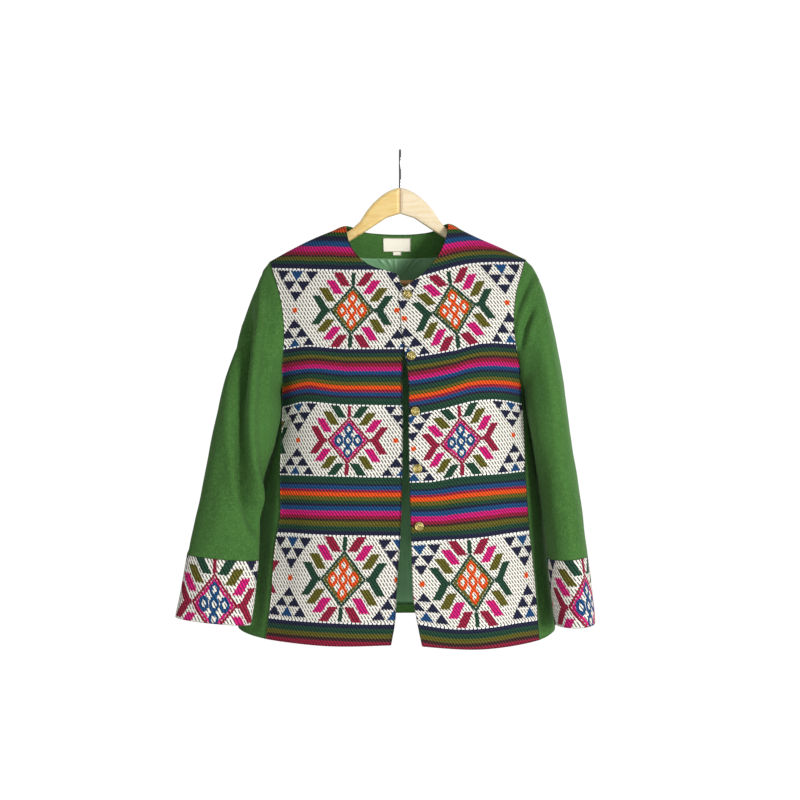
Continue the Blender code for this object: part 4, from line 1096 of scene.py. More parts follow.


# Creases, listed by piece and by the side they show on: each is a half-width in pixels and a path
# on the photograph's pixels, with the depth in millimetres at each point, inwards if above 0
CREASE_LINES = {
    ("sleeve_right", "front"): (
        (2.6, (262.5, 266, 0), (262.3, 280, -0.8), (261, 305, -1.2), (261, 327, -1.0), (262, 341, 0)),
        (3.5, (261, 335, 0), (263.6, 361, 1.6), (267, 379, 0)),
        (6.2, (249.6, 292, 0), (248, 312, 3.6), (247, 330, 7.0), (245, 351, 8.2), (241.6, 381, 8.6),
         (239.6, 412, 8.0), (239.8, 441, 8.2), (241.4, 462, 9.0), (243.6, 479, 10.0), (246.4, 499, 9.4),
         (251.6, 518, 6.0), (258, 538, 0)),
        (5.2, (262, 292, 0), (260.6, 312, -1.6), (259.4, 330, -3.0), (256.6, 351, -3.6),
         (253.2, 381, -3.8), (250.8, 412, -3.6), (250.8, 441, -3.6), (252.2, 462, -3.8),
         (254.4, 479, -4.2), (257, 499, -3.8), (262, 518, -2.4), (267, 540, 0)),
        (3.0, (259, 490, 0), (261, 515, -1.0), (261.5, 548, 0)),
        (10.0, (232, 300, 0), (226, 360, -1.0), (219, 425, -1.2), (210, 490, 0)),
        (4.5, (270, 345, 0), (267, 378, -0.8), (262, 418, 0)),
        (7.0, (232, 430, 0), (221, 470, 0.9), (209, 520, 0.7), (203, 552, 0)),
        (4.5, (255, 232, 0), (247, 258, 0.9), (243, 285, 0)),
        (5.0, (214, 480, 0), (232, 503, 0.7), (246, 516, 0)),
    ),
    ("sleeve_right", "inner"): (
        (14.0, (279, 355, 0), (281, 382, -2.0), (280, 405, -2.0), (275, 440, 0)),
    ),
    ("sleeve_right", "outer"): (
        (14.0, (216, 385, 0), (210, 425, 1.2), (203, 470, 1.6), (195, 520, 1.7), (190, 553, 0.8)),
        (8.0, (268, 263, 0), (262, 277, -1.2), (252, 299, -0.8), (241, 326, 0)),
    ),
    ("sleeve_right", "back"): (
        (8.0, (262, 250, 0), (247, 310, 2.2), (238, 380, 1.6), (229, 440, 0)),
        (7.0, (236, 400, 0), (226, 455, 1.9), (220, 520, 0)),
        (6.0, (272, 300, 0), (256, 352, 1.6), (244, 396, 0)),
        (5.5, (240, 470, 0), (225, 492, 1.4), (207, 505, 0)),
    ),
    ("sleeve_left", "front"): (
        (3.6, (537, 267, 0), (531.8, 277, 2.8), (524, 292.6, 3.4), (516.5, 309, 2.0), (512, 319, 0)),
        (3.8, (535, 303, 0), (529.8, 314, 3.4), (525.4, 326, 4.2), (521.6, 341, 2.6), (519.5, 353, 0)),
        (6.5, (526, 352, 0), (532, 390, -1.2), (538, 435, -1.3), (542, 468, 0)),
        (5.0, (531, 232, 0), (540, 262, 0.9), (547, 300, 0)),
        (6.0, (541, 466, 0), (542, 486, 1.9), (544, 520, 2.4), (547, 553, 1.8)),
        (6.0, (534, 345, 0), (537, 395, 0.8), (542, 440, 0)),
        (8.0, (548, 330, 0), (556, 392, -1.0), (565, 455, 0)),
        (5.0, (552, 486, 0), (564, 503, 0.7), (578, 515, 0)),
        (6.0, (560, 420, 0), (572, 470, 0.7), (580, 530, 0)),
    ),
    ("sleeve_left", "inner"): (
        (14.0, (518, 345, 0), (523, 378, -1.4), (530, 425, -1.4), (536, 465, -1.5), (541, 510, -1.5),
         (545, 545, 0)),
    ),
    ("sleeve_left", "back"): (
        (8.0, (536, 250, 0), (547, 310, 2.0), (554, 380, 1.4), (560, 440, 0)),
        (7.0, (552, 400, 0), (562, 455, 1.7), (570, 520, 0)),
        (6.0, (526, 300, 0), (538, 352, 1.5), (548, 396, 0)),
    ),
    ("front_right", "front"): (
        (2.6, (283, 428, 0), (286, 422, 2.0), (298, 413, 0.7), (304, 409, 0)),
        (22.0, (300, 405, 0), (322, 440, -1.1), (328, 500, -1.5), (325, 560, 0)),
        (9.0, (286, 300, 0), (292, 340, 1.0), (300, 392, 0)),
        (11.0, (378, 330, 0), (384, 420, 0.9), (380, 520, 0.8), (376, 600, 0)),
        (10.0, (295, 470, 0), (290, 540, 1.6), (284, 600, 1.8), (280, 640, 1.0)),
        (13.0, (345, 540, 0), (342, 600, 1.1), (340, 640, 0.8)),
        (8.0, (318, 232, 0), (312, 262, 0.7), (300, 292, 0)),
    ),
    ("front_left", "front"): (
        (2.6, (530, 415, 0), (518, 412, 2.0), (508, 417, 1.0), (502, 421, 0)),
        (20.0, (500, 415, 0), (484, 450, -1.0), (478, 505, -1.4), (480, 560, 0)),
        (9.0, (515, 300, 0), (508, 345, 1.0), (500, 395, 0)),
        (11.0, (436, 330, 0), (438, 420, 0.7), (444, 520, 0.8), (448, 600, 0)),
        (10.0, (502, 470, 0), (508, 540, 1.5), (514, 600, 1.7), (518, 640, 1.0)),
        (13.0, (463, 560, 0), (466, 605, 1.0), (468, 645, 0.8)),
    ),
    ("back", "back"): (
        (11.0, (330, 240, 0), (322, 300, 1.3), (330, 360, 0)),
        (11.0, (470, 245, 0), (480, 300, 1.2), (470, 365, 0)),
        (12.0, (360, 330, 0), (352, 430, 1.8), (346, 540, 2.4), (340, 640, 2.0)),
        (12.0, (440, 360, 0), (452, 450, 1.5), (462, 550, 2.2), (468, 640, 1.8)),
        (14.0, (400, 420, 0), (404, 520, 1.4), (398, 640, 1.6)),
        (10.0, (296, 420, 0), (290, 500, 1.6), (284, 640, 1.4)),
        (10.0, (512, 430, 0), (518, 520, 1.5), (524, 640, 1.2)),
        (6.0, (292, 300, 0), (318, 322, 1.0), (345, 330, 0)),
        (6.0, (510, 300, 0), (486, 324, 1.0), (458, 332, 0)),
    ),
    ("side_right", "front"): (
        (6.0, (276, 440, 0), (268, 500, 1.5), (258, 600, 1.8), (252, 640, 1.0)),
    ),
    ("side_left", "front"): (
        (6.0, (527, 440, 0), (534, 500, 1.4), (540, 600, 1.6), (544, 640, 1.0)),
    ),
    ("side_left", "outer"): (
        (14.0, (536, 470, 0), (542, 510, -0.8), (550, 570, -1.2), (555, 625, -1.3)),
    ),
    ("cuff_right", "front"): (
        (9.0, (226, 566, 0), (222, 590, 0.7), (219, 618, 0.4)),
        (6.0, (196, 560, 0), (192, 590, 0.9), (186, 618, 0.6)),
    ),
    ("cuff_left", "front"): (
        (7.0, (562, 562, 0), (566, 590, 0.8), (570, 620, 0.5)),
        (5.0, (584, 562, 0), (590, 590, 0.7), (592, 620, 0.5)),
    ),
    ("lining_back", "front"): (
        (1.5, (394.8, 250, 0.8), (395, 262, 1.2), (396, 330, 1.2), (397, 460, 1.4), (398, 640, 1.0)),
        (1.7, (357, 255, 0), (367, 256.5, 1.4), (378, 254.5, 0)),
        (1.9, (370, 251, 0), (379, 258.5, 1.8), (388, 270, 0)),
        (1.7, (380, 251, 0), (387, 258.5, 1.6), (393, 270, 0)),
        (1.9, (421, 250, 0), (411, 261.5, 2.4), (401, 276, 0.6)),
        (1.9, (433, 249, 0), (421, 258, 2.0), (407, 271, 0)),
        (1.6, (412, 251, 0), (405, 262, 1.5), (399, 274, 0)),
        (2.0, (442, 245, 0), (430, 252.5, 1.6), (416, 264, 0)),
        (2.2, (406, 300, 0), (405, 400, 1.6), (407, 500, 0)),
        (2.0, (403, 430, 0), (404, 520, 1.5), (402, 600, 0)),
        (2.2, (409, 480, 0), (408, 560, 1.6), (410, 612, 0.5)),
        (2.4, (372, 560, 0), (392, 566, 1.6), (412, 561, 0)),
    ),
}
CREASE_FULL = {"wool": 2.0, "brocade": 1.3, "satin": 1.6}
# The low swell beside a crease: how far away in half-widths, and how high as a share of the depth
SWELL_AWAY = 1.7
SWELL_SHARE = 0.28
# How quickly a crease fades where the cloth turns away from the side it shows on
FACING_GAIN = 2.5
# Fine lines of the grid over which creases fade out towards the seams
HELD_ROWS = 4
HELD_COLUMNS = 3
# Small uneven waves: how high, how many, how level, and their lengths
RIPPLES = {"wool": 0.00045, "brocade": 0.00022, "satin": 0.00055}
RIPPLE_COUNT = 9
RIPPLE_LEVEL = 0.6
RIPPLE_LENGTHS = (0.018, 0.075)
# How far a shell's rim stands out, as a share of its wall
RIM_REACH = 0.4


def as_array(grid):
    """Rows of points as one array."""
    return np.array([[tuple(point) for point in row] for row in grid])


def turned(points):
    """A grid with its rows and columns swapped."""
    return np.swapaxes(points, 0, 1)


def knot_curve(points, count):
    """Rows of points read evenly along a smooth curve through every row."""
    knots = running(np.maximum(step_lengths(points.mean(axis=1)), 1e-6))
    slopes = np.gradient(points, knots, axis=0)
    at = np.linspace(0.0, knots[-1], count)
    low = np.clip(np.searchsorted(knots, at, side="right") - 1, 0, len(knots) - 2)
    width = (knots[low + 1] - knots[low])[:, None, None]
    t = (at - knots[low])[:, None, None] / width
    return hermite(t, width, points[low], points[low + 1], slopes[low], slopes[low + 1])


def refine(grid, rows, columns, closed=False):
    """A fine grid of points on the smooth surface through a coarse one."""
    points = turned(knot_curve(as_array(grid), rows))
    if not closed:
        return turned(knot_curve(points, columns))
    after = np.roll(points, -1, axis=0)
    slopes = (after - np.roll(points, 1, axis=0)) / 2
    per_step = columns // len(points)
    fine = []
    for part in range(per_step):
        fine.append(hermite(part / per_step, 1, points, after, slopes, np.roll(slopes, -1, axis=0)))
    return turned(turned(np.array(fine)).reshape(-1, rows, 3))


def sheet_normals(points, closed, outwards):
    """The way out of a fine grid at every point."""
    down = np.gradient(points, axis=0)
    across = np.gradient(points, axis=1)
    if closed:
        across = (np.roll(points, -1, axis=1) - np.roll(points, 1, axis=1)) / 2
    normals = np.cross(down, across) * outwards
    return normals / np.maximum(np.linalg.norm(normals, axis=2, keepdims=True), 1e-12)


def photo_place(points):
    """Where points lie on the photograph."""
    scale = FOCAL_PIXELS / (points[..., 1] - CAMERA_Y)
    across = PHOTO_MIDDLE + points[..., 0] * scale
    down = PHOTO_MIDDLE - (points[..., 2] - CAMERA_Z) * scale
    return across, down


def crease_depth(across, down, half_width, path):
    """A soft crease's depth at places on the photograph, with a low swell beside it."""
    best = np.full(across.shape, np.inf)
    depth = np.zeros(across.shape)
    for (x0, y0, d0), (x1, y1, d1) in zip(path, path[1:]):
        run_x, run_y = x1 - x0, y1 - y0
        share = ((across - x0) * run_x + (down - y0) * run_y) / (run_x**2 + run_y**2)
        share = np.clip(share, 0.0, 1.0)
        away = np.hypot(across - x0 - share * run_x, down - y0 - share * run_y)
        depth = np.where(away < best, d0 + (d1 - d0) * share * share * (3 - 2 * share), depth)
        best = np.minimum(away, best)
    trough = np.exp(-((best / half_width) ** 2))
    swell = np.exp(-(((best - SWELL_AWAY * half_width) / half_width) ** 2))
    return depth * (trough - SWELL_SHARE * swell)


def ripples(points, seed):
    """Small uneven waves of the cloth, from -1 to 1."""
    draw = np.random.default_rng(seed)
    total = np.zeros(points.shape[:2])
    for _ in range(RIPPLE_COUNT):
        way = draw.normal(size=3)
        way[2] *= RIPPLE_LEVEL
        way /= np.linalg.norm(way)
        length = draw.uniform(*RIPPLE_LENGTHS)
        phase = draw.uniform(0, 2 * math.pi)
        total += np.sin(points @ way * (2 * math.pi / length) + phase) * length
    return total / np.abs(total).max()


def border_hold(count, steps_in):
    """A factor for each line of a grid that fades out towards its first and last."""
    line = np.arange(count)
    return np.clip(np.minimum(line, line[::-1]) / steps_in, 0.0, 1.0)


def hold_edges(shape, closed):
    """A factor that fades a relief out towards the seams."""
    rows, columns = shape
    hold = border_hold(rows, HELD_ROWS)[:, None] * np.ones((1, columns))
    if not closed:
        hold = hold * border_hold(columns, HELD_COLUMNS)
    return hold * hold * (3 - 2 * hold)


def relief(name, points, closed, outwards, cloth):
    """A fine grid, moved in and out by its creases and ripples."""
    normals = sheet_normals(points, closed, outwards)
    across, down = photo_place(points)
    aside = normals[..., 0] * np.sign(points[..., 0])
    facing = {"front": -normals[..., 1], "inner": -aside, "outer": aside, "back": normals[..., 1]}
    inwards = np.zeros(points.shape[:2])
    for face, towards in facing.items():
        steady = np.clip(towards * FACING_GAIN, 0.0, 1.0)
        full = MILLIMETRE * CREASE_FULL[cloth]
        for half_width, *path in CREASE_LINES.get((name, face), ()):
            inwards += crease_depth(across, down, half_width, path) * steady * full
    inwards += ripples(points, sum(ord(letter) for letter in name)) * RIPPLES[cloth]
    inwards *= hold_edges(points.shape[:2], closed)
    return points - normals * inwards[..., None]


def index_quads(rows, columns, closed, flipped, start=0):
    """The corners of a grid's quads."""
    numbers = np.arange(rows * columns).reshape(rows, columns) + start
    beside = np.roll(numbers, -1, axis=1) if closed else numbers[:, 1:]
    here = numbers if closed else numbers[:, :-1]
    quads = np.stack([here[:-1], here[1:], beside[1:], beside[:-1]], axis=-1).reshape(-1, 4)
    return quads[:, ::-1] if flipped else quads


def rim_lines(rows, columns, closed):
    """The open borders of a grid as runs of point numbers."""
    numbers = np.arange(rows * columns).reshape(rows, columns)
    if closed:
        return [np.append(numbers[0], numbers[0, 0])[::-1], np.append(numbers[-1], numbers[-1, 0])]
    return [numbers[0][::-1], numbers[:, 0], numbers[-1], numbers[:, -1][::-1]]


def make_piece(name, places, faces, finishes):
    """A smooth mesh of its own in the scene."""
    mesh = bpy.data.meshes.new(name)
    mesh.from_pydata(places, [], faces)
    mesh.polygons.foreach_set("use_smooth", np.ones(len(faces), dtype=bool))
    for finish in finishes:
        mesh.materials.append(FINISHES[finish])
    piece = bpy.data.objects.new(name, mesh)
    bpy.context.scene.collection.objects.link(piece)
    return piece


def make_shell(name, points, wall, finishes, closed=False, outwards=1, cloth=None):
    """A thin shell on a fine grid: its two faces and a rounded rim."""
    rows, columns = points.shape[:2]
    count = rows * columns
    normals = sheet_normals(points, closed, outwards)
    flat = points.reshape(-1, 3)
    out = normals.reshape(-1, 3) * wall / 2
    places = [flat + out, flat - out]
    flipped = outwards < 0
    quads = [index_quads(rows, columns, closed, flipped)]
    quads.append(index_quads(rows, columns, closed, not flipped, count))
    total = 2 * count
    inside = (columns, -columns) if closed else (columns, 1, -columns, -1)
    for inward, line in zip(inside, rim_lines(rows, columns, closed)):
        away = flat[line] - flat[line + inward]
        away /= np.maximum(np.linalg.norm(away, axis=1, keepdims=True), 1e-9)
        places.append(flat[line] + away * wall * RIM_REACH)
        rim = np.arange(len(line)) + total
        total += len(line)
        for near, far in ((line, rim), (rim, line + count)):
            part = np.stack([near[:-1], far[:-1], far[1:], near[1:]], axis=-1)
            quads.append(part if flipped else part[:, ::-1])
    faces = np.concatenate(quads)
    piece = make_piece(name, np.concatenate(places).tolist(), faces.tolist(), finishes)
    slots = np.zeros(len(faces), dtype=np.int32)
    slots[len(quads[0]) : len(quads[0]) + len(quads[1])] = 1
    piece.data.polygons.foreach_set("material_index", slots)
    if cloth is not None:
        add_cloth_map(piece.data, faces, cloth, count, columns, closed)
    return piece


def add_cloth_map(mesh, faces, cloth, count, columns, closed):
    """Writes the cloth's coordinates, a seam's far side counted on past the last column."""
    number = faces % count
    row, column = number // columns, number % columns
    if closed:
        wraps = (column.max(axis=1) - column.min(axis=1)) > columns // 2
        column = np.where(wraps[:, None] & (column == 0), columns, column)
    on_rim = faces >= 2 * count
    values = cloth[row, np.minimum(column, cloth.shape[1] - 1)]
    known = np.where(on_rim[..., None], 0.0, values)
    middle = known.sum(axis=1) / np.maximum((~on_rim).sum(axis=1), 1)[:, None]
    values = np.where(on_rim[..., None], middle[:, None, :], values)
    halves = np.stack([values[..., 2], np.zeros(values.shape[:2])], axis=-1)
    for name, pairs in (("Cloth", values[..., :2]), ("Spacing", halves)):
        layer = mesh.uv_layers.new(name=name)
        layer.data.foreach_set("uv", pairs.reshape(-1).astype(np.float32))


# Fine grids: rows and columns of each piece, the round ones' columns in steps for each station
FINE = {
    "front": (200, 66), "back": (170, 130), "side": (130, 34), "sleeve": (170, 7), "cuff": (56, 6),
    "neck_facing": (16, 60), "lining_back": (150, 140), "hem_band": (8, 120),
    "neck_label": (12, 26), "size_tab": (8, 10),
}
# How much closer the lining's rows lie towards the neck, where its wrinkles are
FINER_TOP = 1.5
# Where lengths along the fronts are measured: heights, shares of the half-width, steepest step in depth
ARC_HEIGHTS = (-0.79, -0.10, 60)
ARC_SHARES = (0.0, 0.97, 70)
ARC_STEEPEST = 0.01

# The brocade's figures on each front: the medallions' middle line, by height in the cloth
AXIS_ROWS = {
    RIGHT: (
        (271.0, -46.6), (310.0, -48.3), (347.0, -50.4), (406.0, -50.6), (440.0, -51.8), (476.0, -53.6),
        (536.0, -54.8), (579.0, -57.0), (621.0, -60.4),
    ),
    LEFT: (
        (271.0, 48.8), (310.0, 54.6), (347.0, 58.8), (404.0, 58.9), (441.0, 61.4), (476.0, 62.6),
        (540.0, 69.3), (581.0, 73.6), (624.0, 78.8),
    ),
}
# How far the fronts' bands hang out of level, in pixels down, by place across and height in the cloth
DROP_PLACES = {
    RIGHT: (268, 280, 290, 300, 310, 320, 332, 346, 372, 404),
    LEFT: (408, 420, 432, 444, 456, 468, 480, 494, 508, 522, 538),
}
DROP_ROWS = {
    RIGHT: (
        (229.0, (0, 0, 0, 0, 0, 0, 0, 0, 0, 0)),
        (250.0, (1.7, 0.9, 0.4, 0.1, 0, 0, 0.2, 0.9, 1.4, 1.4)),
        (269.4, (-1.2, -0.9, -0.7, -0.5, -0.3, 0.1, 0.4, 0.6, 0.6, 0.6)),
        (310.4, (0, 0, 0, 0, 0, 0, 0, 0, 0, 0)),
        (349.2, (0.6, 0.4, -0.5, -2.2, -2.7, -2.1, -0.8, 0, 0, -0.2)),
        (371.0, (2.5, 1.8, -0.3, -1.7, -2.8, -2.6, -1.4, 0, 0, 0)),
        (387.5, (4.5, 3.4, -0.3, -3.0, -4.4, -2.7, -0.8, 0, 0, 0)),
        (404.6, (4.0, 3.0, 0.6, -2.6, -2.9, -2.2, -0.9, 0, 0.4, 0.8)),
        (440.6, (0.8, 0.3, -0.1, -0.5, -0.6, -0.4, -0.2, 0, 0, 0)),
        (476.6, (-2.2, -1.6, -1.4, -1.2, -0.9, -0.6, -0.3, 0.1, 0.8, 0.8)),
        (512.6, (-1.5, -1.2, -0.9, -0.6, -0.3, 0, 0.2, 0.4, 0.6, 0.6)),
        (535.0, (-3.0, -2.5, -2.1, -1.6, -1.1, -0.6, -0.1, 0.2, 0.6, 0.8)),
        (579.3, (-2.4, -1.8, -1.5, -1.2, -0.8, -0.5, -0.2, 0, 0.3, 0.7)),
        (624.0, (-6.0, -4.4, -3.4, -2.8, -2.1, -1.4, -0.7, 0, 0.5, 0.6)),
    ),
    LEFT: (
        (229.0, (-1, -1, -2, -2.9, -2.9, -3.2, -3.4, -3.5, -3.5, -3.5, -3.5)),
        (249.0, (1.0, 0.5, 0, -2.0, -4.2, -5.5, -5.6, -3.5, -0.5, 1.0, 2.0)),
        (258.8, (6.0, 4.5, 3.0, 0.5, -3.0, -5.0, -5.8, -6.2, -4.8, -1.5, 1.0)),
        (269.4, (9.0, 6.9, 3.6, 0.2, -3.0, -5.4, -6.6, -7.0, -7.0, -7.0, -7.0)),
        (310.4, (8.2, 5.8, 3.4, 0.8, -1.8, -4.6, -6.5, -7.3, -7.8, -7.8, -7.8)),
        (349.2, (8.8, 7.1, 5.4, 3.3, 1.2, -2.4, -5.3, -6.2, -5.3, -4.4, -3.5)),
        (371.0, (9.7, 8.2, 6.2, 3.9, 1.0, -2.8, -4.8, -5.3, -4.6, -3.4, -2.0)),
        (387.5, (10.0, 8.3, 6.4, 3.8, 0.3, -3.4, -5.2, -5.5, -4.7, -2.2, 0)),
        (404.6, (10.8, 8.8, 6.3, 3.8, 0.6, -2.6, -4.6, -5.3, -3.8, -0.6, 1.5)),
        (440.6, (9.0, 7.2, 5.4, 3.6, 1.4, -0.3, -2.2, -3.9, -5.3, -6.5, -7.5)),
        (476.6, (6.2, 5.8, 5.4, 3.4, 0.9, -0.4, -1.4, -2.2, -3.4, -5.0, -6.5)),
        (494.0, (5.8, 5.6, 5.3, 4.4, 2.5, 1.0, -0.1, -1.3, -2.3, -3.3, -4.4)),
        (512.6, (6.0, 6.0, 6.0, 5.7, 3.8, 2.2, 0.9, -0.5, -2.2, -3.2, -4.2)),
        (535.0, (7.0, 6.3, 5.4, 4.9, 4.4, 3.5, 2.4, 0.5, -1.5, -3.6, -5.8)),
        (579.3, (5.0, 4.8, 4.7, 4.6, 3.8, 2.5, 1.8, 0.8, -1.5, -3.6, -6.0)),
        (624.0, (-2.0, 0.5, 2.7, 4.4, 5.4, 5.7, 5.0, 3.2, 1.0, -1.4, -3.9)),
    ),
}
# How often a place's drop is worked out again from the height it had before it dropped
DROP_ROUNDS = 4
# Each white band's middle, and half the repeat on the two sides of its middle line
HALF_ROWS = {
    RIGHT: ((310.4, 58.6, 54.5), (440.6, 53.9, 57.0), (579.3, 57.9, 54.0)),
    LEFT: ((310.4, 50.4, 54.5), (440.6, 48.0, 57.4), (579.3, 51.2, 61.3)),
}
# The low corner of each front's neckline: where it starts, how far it hangs down, and over what width
CORNER_ROWS = {RIGHT: (-0.0014, 0.018, 0.0010), LEFT: (0.0105, 0.016, 0.0060)}
CORNER_Z = -0.2020
CORNER_HIGH = 0.036
# How far the sleeves' outer edges are drawn in: heights on the photograph, and pixels
OUTLINE_EASE = {
    RIGHT: (
        (256, 0.0), (264, -2.3), (271, -1.6), (276, 0.0), (326, 0.0), (336, 1.4), (348, 3.8), (360, 3.8),
        (396, 2.6), (412, 2.0), (420, 1.4), (516, 0.8), (540, 2.0), (560, 3.6), (590, 3.4), (612, 2.4),
    ),
    LEFT: (
        (248, -2.0), (260, -4.2), (275, -4.9), (281, -3.2), (290, -2.0), (312, -0.9), (330, 0.0),
        (384, 0.4), (396, 1.5), (420, 2.4), (432, 3.3), (480, 3.9), (516, 4.3), (540, 4.9), (560, 4.7),
        (580, 4.0), (600, 4.6), (620, 3.5),
    ),
}
# How far the cuffs' seams are raised, and where that starts and ends, in the photograph's pixels
SEAM_HEIGHTS = (515, 561, 612)
SEAM_RISE = {RIGHT: 3.0, LEFT: 1.6}
ARMHOLE_HELD = 3.0
CUFF_TOP = 406.6
CUFF_FOOT = 455.6
CUFF_STRETCH = 1.09
CUFF_AXIS = {RIGHT: (-4.0, 3.0), LEFT: (10.0, 13.0)}

# Cut areas of the panels that aren't near a rectangle, in square metres
SIDE_AREA = 0.0320
SLEEVE_AREA = {RIGHT: 0.1190, LEFT: 0.1085}

# A stud's face: its rings, the height at shares of its radius, and its petals, as shares of its size
STUD_RINGS = 22
STUD_AROUND = 56
STUD_PROFILE = (
    (0.0, 0.95), (0.16, 0.92), (0.26, 0.72), (0.40, 0.86), (0.50, 0.82), (0.60, 0.56), (0.68, 0.55),
    (0.80, 0.96), (0.92, 0.92), (1.0, 0.62),
)
PETALS = 8
PETAL_HEIGHT = 0.09
PETAL_MIDDLE = 0.38
PETAL_WIDTH = 0.13


def section_arc(side):
    """Lengths along the front from its centre line: heights, shares of the reach, lengths."""
    heights, shares = np.linspace(*ARC_HEIGHTS), np.linspace(*ARC_SHARES)
    lengths = []
    for z in heights:
        xs = shares * reach_at(side, z)
        ys = np.array([face_y(side, x, z, "front") for x in xs])
        lengths.append(running(np.hypot(np.diff(xs), np.clip(np.diff(ys), -ARC_STEEPEST, ARC_STEEPEST))))
    return heights, shares, np.array(lengths)


def band_drop(side, across, down):
    """How far a front's bands hang out of level at places on the photograph."""
    heights = np.array([height for height, _ in DROP_ROWS[side]])
    drops = np.array([np.interp(across, DROP_PLACES[side], row) for _, row in DROP_ROWS[side]])
    drop = np.zeros(down.shape)
    for _ in range(DROP_ROUNDS):
        level = np.clip(down - drop, heights[0], heights[-1])
        row = np.clip(np.searchsorted(heights, level) - 1, 0, len(heights) - 2)
        share = (level - heights[row]) / (heights[row + 1] - heights[row])
        upper = np.take_along_axis(drops, row[None], axis=0)[0]
        lower = np.take_along_axis(drops, row[None] + 1, axis=0)[0]
        drop = upper + (lower - upper) * share * share * (3 - 2 * share)
    return drop


def between(values, rows, columns):
    """A grid's values between its rows and columns."""
    top = np.clip(rows.astype(int), 0, values.shape[0] - 2)
    left = np.clip(columns.astype(int), 0, values.shape[1] - 2)
    down, over = rows - top, columns - left
    if values.ndim == 3:
        down, over = down[..., None], over[..., None]
    upper = values[top, left] * (1 - over) + values[top, left + 1] * over
    lower = values[top + 1, left] * (1 - over) + values[top + 1, left + 1] * over
    return upper * (1 - down) + lower * down


def front_cloth(side, points):
    """The cloth's coordinates on a front, in pixels."""
    heights, shares, lengths = section_arc(side)
    x = points[..., 0] * side
    z = np.clip(points[..., 2], heights[0], heights[-1])
    reach = np.interp(z, heights, [reach_at(side, height) for height in heights])
    row = (z - heights[0]) / (heights[1] - heights[0])
    column = np.clip(np.abs(x) / reach, 0.0, shares[-1]) / (shares[1] - shares[0])
    arc = between(lengths, row, column) * np.sign(x) * side
    across, down = photo_place(points)
    down = down - band_drop(side, across, down)
    across = arc / PIXEL - np.interp(down, *np.array(AXIS_ROWS[side]).T)
    bands, *halves = np.array(HALF_ROWS[side]).T
    left, right = (np.interp(down, bands, half) for half in halves)
    return np.stack([across, down, np.where(across < 0, left, right)], axis=-1)


def cuff_cloth(side, points):
    """The cloth's coordinates on a cuff, in pixels, once round and back to the start."""
    rows, columns = points.shape[:2]
    round_again = np.concatenate([points, points[:, :1]], axis=1)
    steps = np.linalg.norm(np.diff(round_again, axis=1), axis=2)
    lengths = np.concatenate([np.zeros((rows, 1)), np.cumsum(steps, axis=1)], axis=1)
    middle = lengths[:, columns // 4][:, None]
    share = np.linspace(0.0, 1.0, rows)[:, None]
    top, foot = CUFF_AXIS[side]
    axis = top + (foot - top) * share
    across = (lengths - middle) * -side / (PIXEL * CUFF_STRETCH) - axis
    down = CUFF_TOP + (CUFF_FOOT - CUFF_TOP) * share * np.ones((1, columns + 1))
    return np.stack([across, down, np.full(down.shape, CUFF_HALF)], axis=-1)


def even_steps(grid, count):
    """Where an even fine grid's rows lie among the coarse ones."""
    knots = running(step_lengths(as_array(grid).mean(axis=1)))
    return np.interp(np.linspace(0.0, knots[-1], count), knots, np.arange(len(knots)))


def fit(piece, node):
    """Puts a piece into the model in place of its plain solid."""
    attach(piece, "root")
    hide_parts(node)


def hang(piece, node, slot_name, flat, rests_on=(), area=None):
    """Puts a hung piece of cloth into the model; its flat size is not used."""
    fit(piece, node)


# Flat size of each piece of cloth as it hangs, across and down, in metres
FLAT_SIZES = {
    "front": (0.235, 0.665), "side": (0.105, 0.430), "back": (0.490, 0.650),
    "sleeve": (0.370, 0.500), "cuff": (0.270, 0.107), "neck_facing": (0.175, 0.040),
    "lining_back": (0.485, 0.595), "hem_band": (0.490, 0.014),
}


def dress_panel(node, points, kind, finishes, flat, closed=False, outwards=1, cloth=None, **more):
    """One panel's cloth with its creases, hung in place of its plain solid."""
    points = relief(node, points, closed, outwards, kind)
    piece = make_shell(node + "_cloth", points, WALL, finishes, closed, outwards, cloth)
    hang(piece, node, kind, flat, **more)
    return points


def dress_front(side):
    """One brocade front, lined with satin."""
    name = SIDE_NAMES[side]
    shares = [column / FRONT_COLUMNS for column in range(FRONT_COLUMNS + 1)]
    grid = [[front_point(side, row, share) for share in shares] for row in range(FRONT_ROWS + 1)]
    points = refine(grid, *FINE["front"])
    x, drop, wide = CORNER_ROWS[side]
    beside = 1 / (1 + np.exp(np.clip(side * (points[..., 0] - x) / wide, -30.0, 30.0)))
    points[..., 2] -= drop * (beside * np.exp(-(((points[..., 2] - CORNER_Z) / CORNER_HIGH) ** 2)))
    cloth = front_cloth(side, points)
    finishes = ("brocade_right" if side == RIGHT else "brocade", "satin")
    flat, arms = FLAT_SIZES["front"], ["hanger_arm_" + name]
    more = {"outwards": side, "cloth": cloth, "rests_on": arms}
    return dress_panel("front_" + name, points, "brocade", finishes, flat, **more)


def dress_side(side):
    """One wool side panel."""
    columns = range(SIDE_COLUMNS + 1)
    grid = [[side_point(side, column, row) for column in columns] for row in range(BODY_STEPS + 1)]
    points = refine(grid, *FINE["side"])
    finishes, flat = ("wool", "satin"), FLAT_SIZES["side"]
    dress_panel("side_" + SIDE_NAMES[side], points, "wool", finishes, flat, outwards=side, area=SIDE_AREA)


def ease_edge(side, points, free):
    """A sleeve's or cuff's points, its outer half drawn in where its rows are free, and its seam raised."""
    heights, pixels = np.array(OUTLINE_EASE[side]).T
    outwards = points[..., 0] * side
    inner = outwards.min(axis=1, keepdims=True)
    share = (outwards - inner) / (outwards.max(axis=1, keepdims=True) - inner)
    down = photo_place(points)[1]
    eased = points.copy()
    eased[..., 0] -= side * np.interp(down, heights, pixels) * PIXEL * share**2 * free
    eased[..., 2] += np.interp(down, SEAM_HEIGHTS, (0.0, SEAM_RISE[side], 0.0)) * PIXEL
    return eased


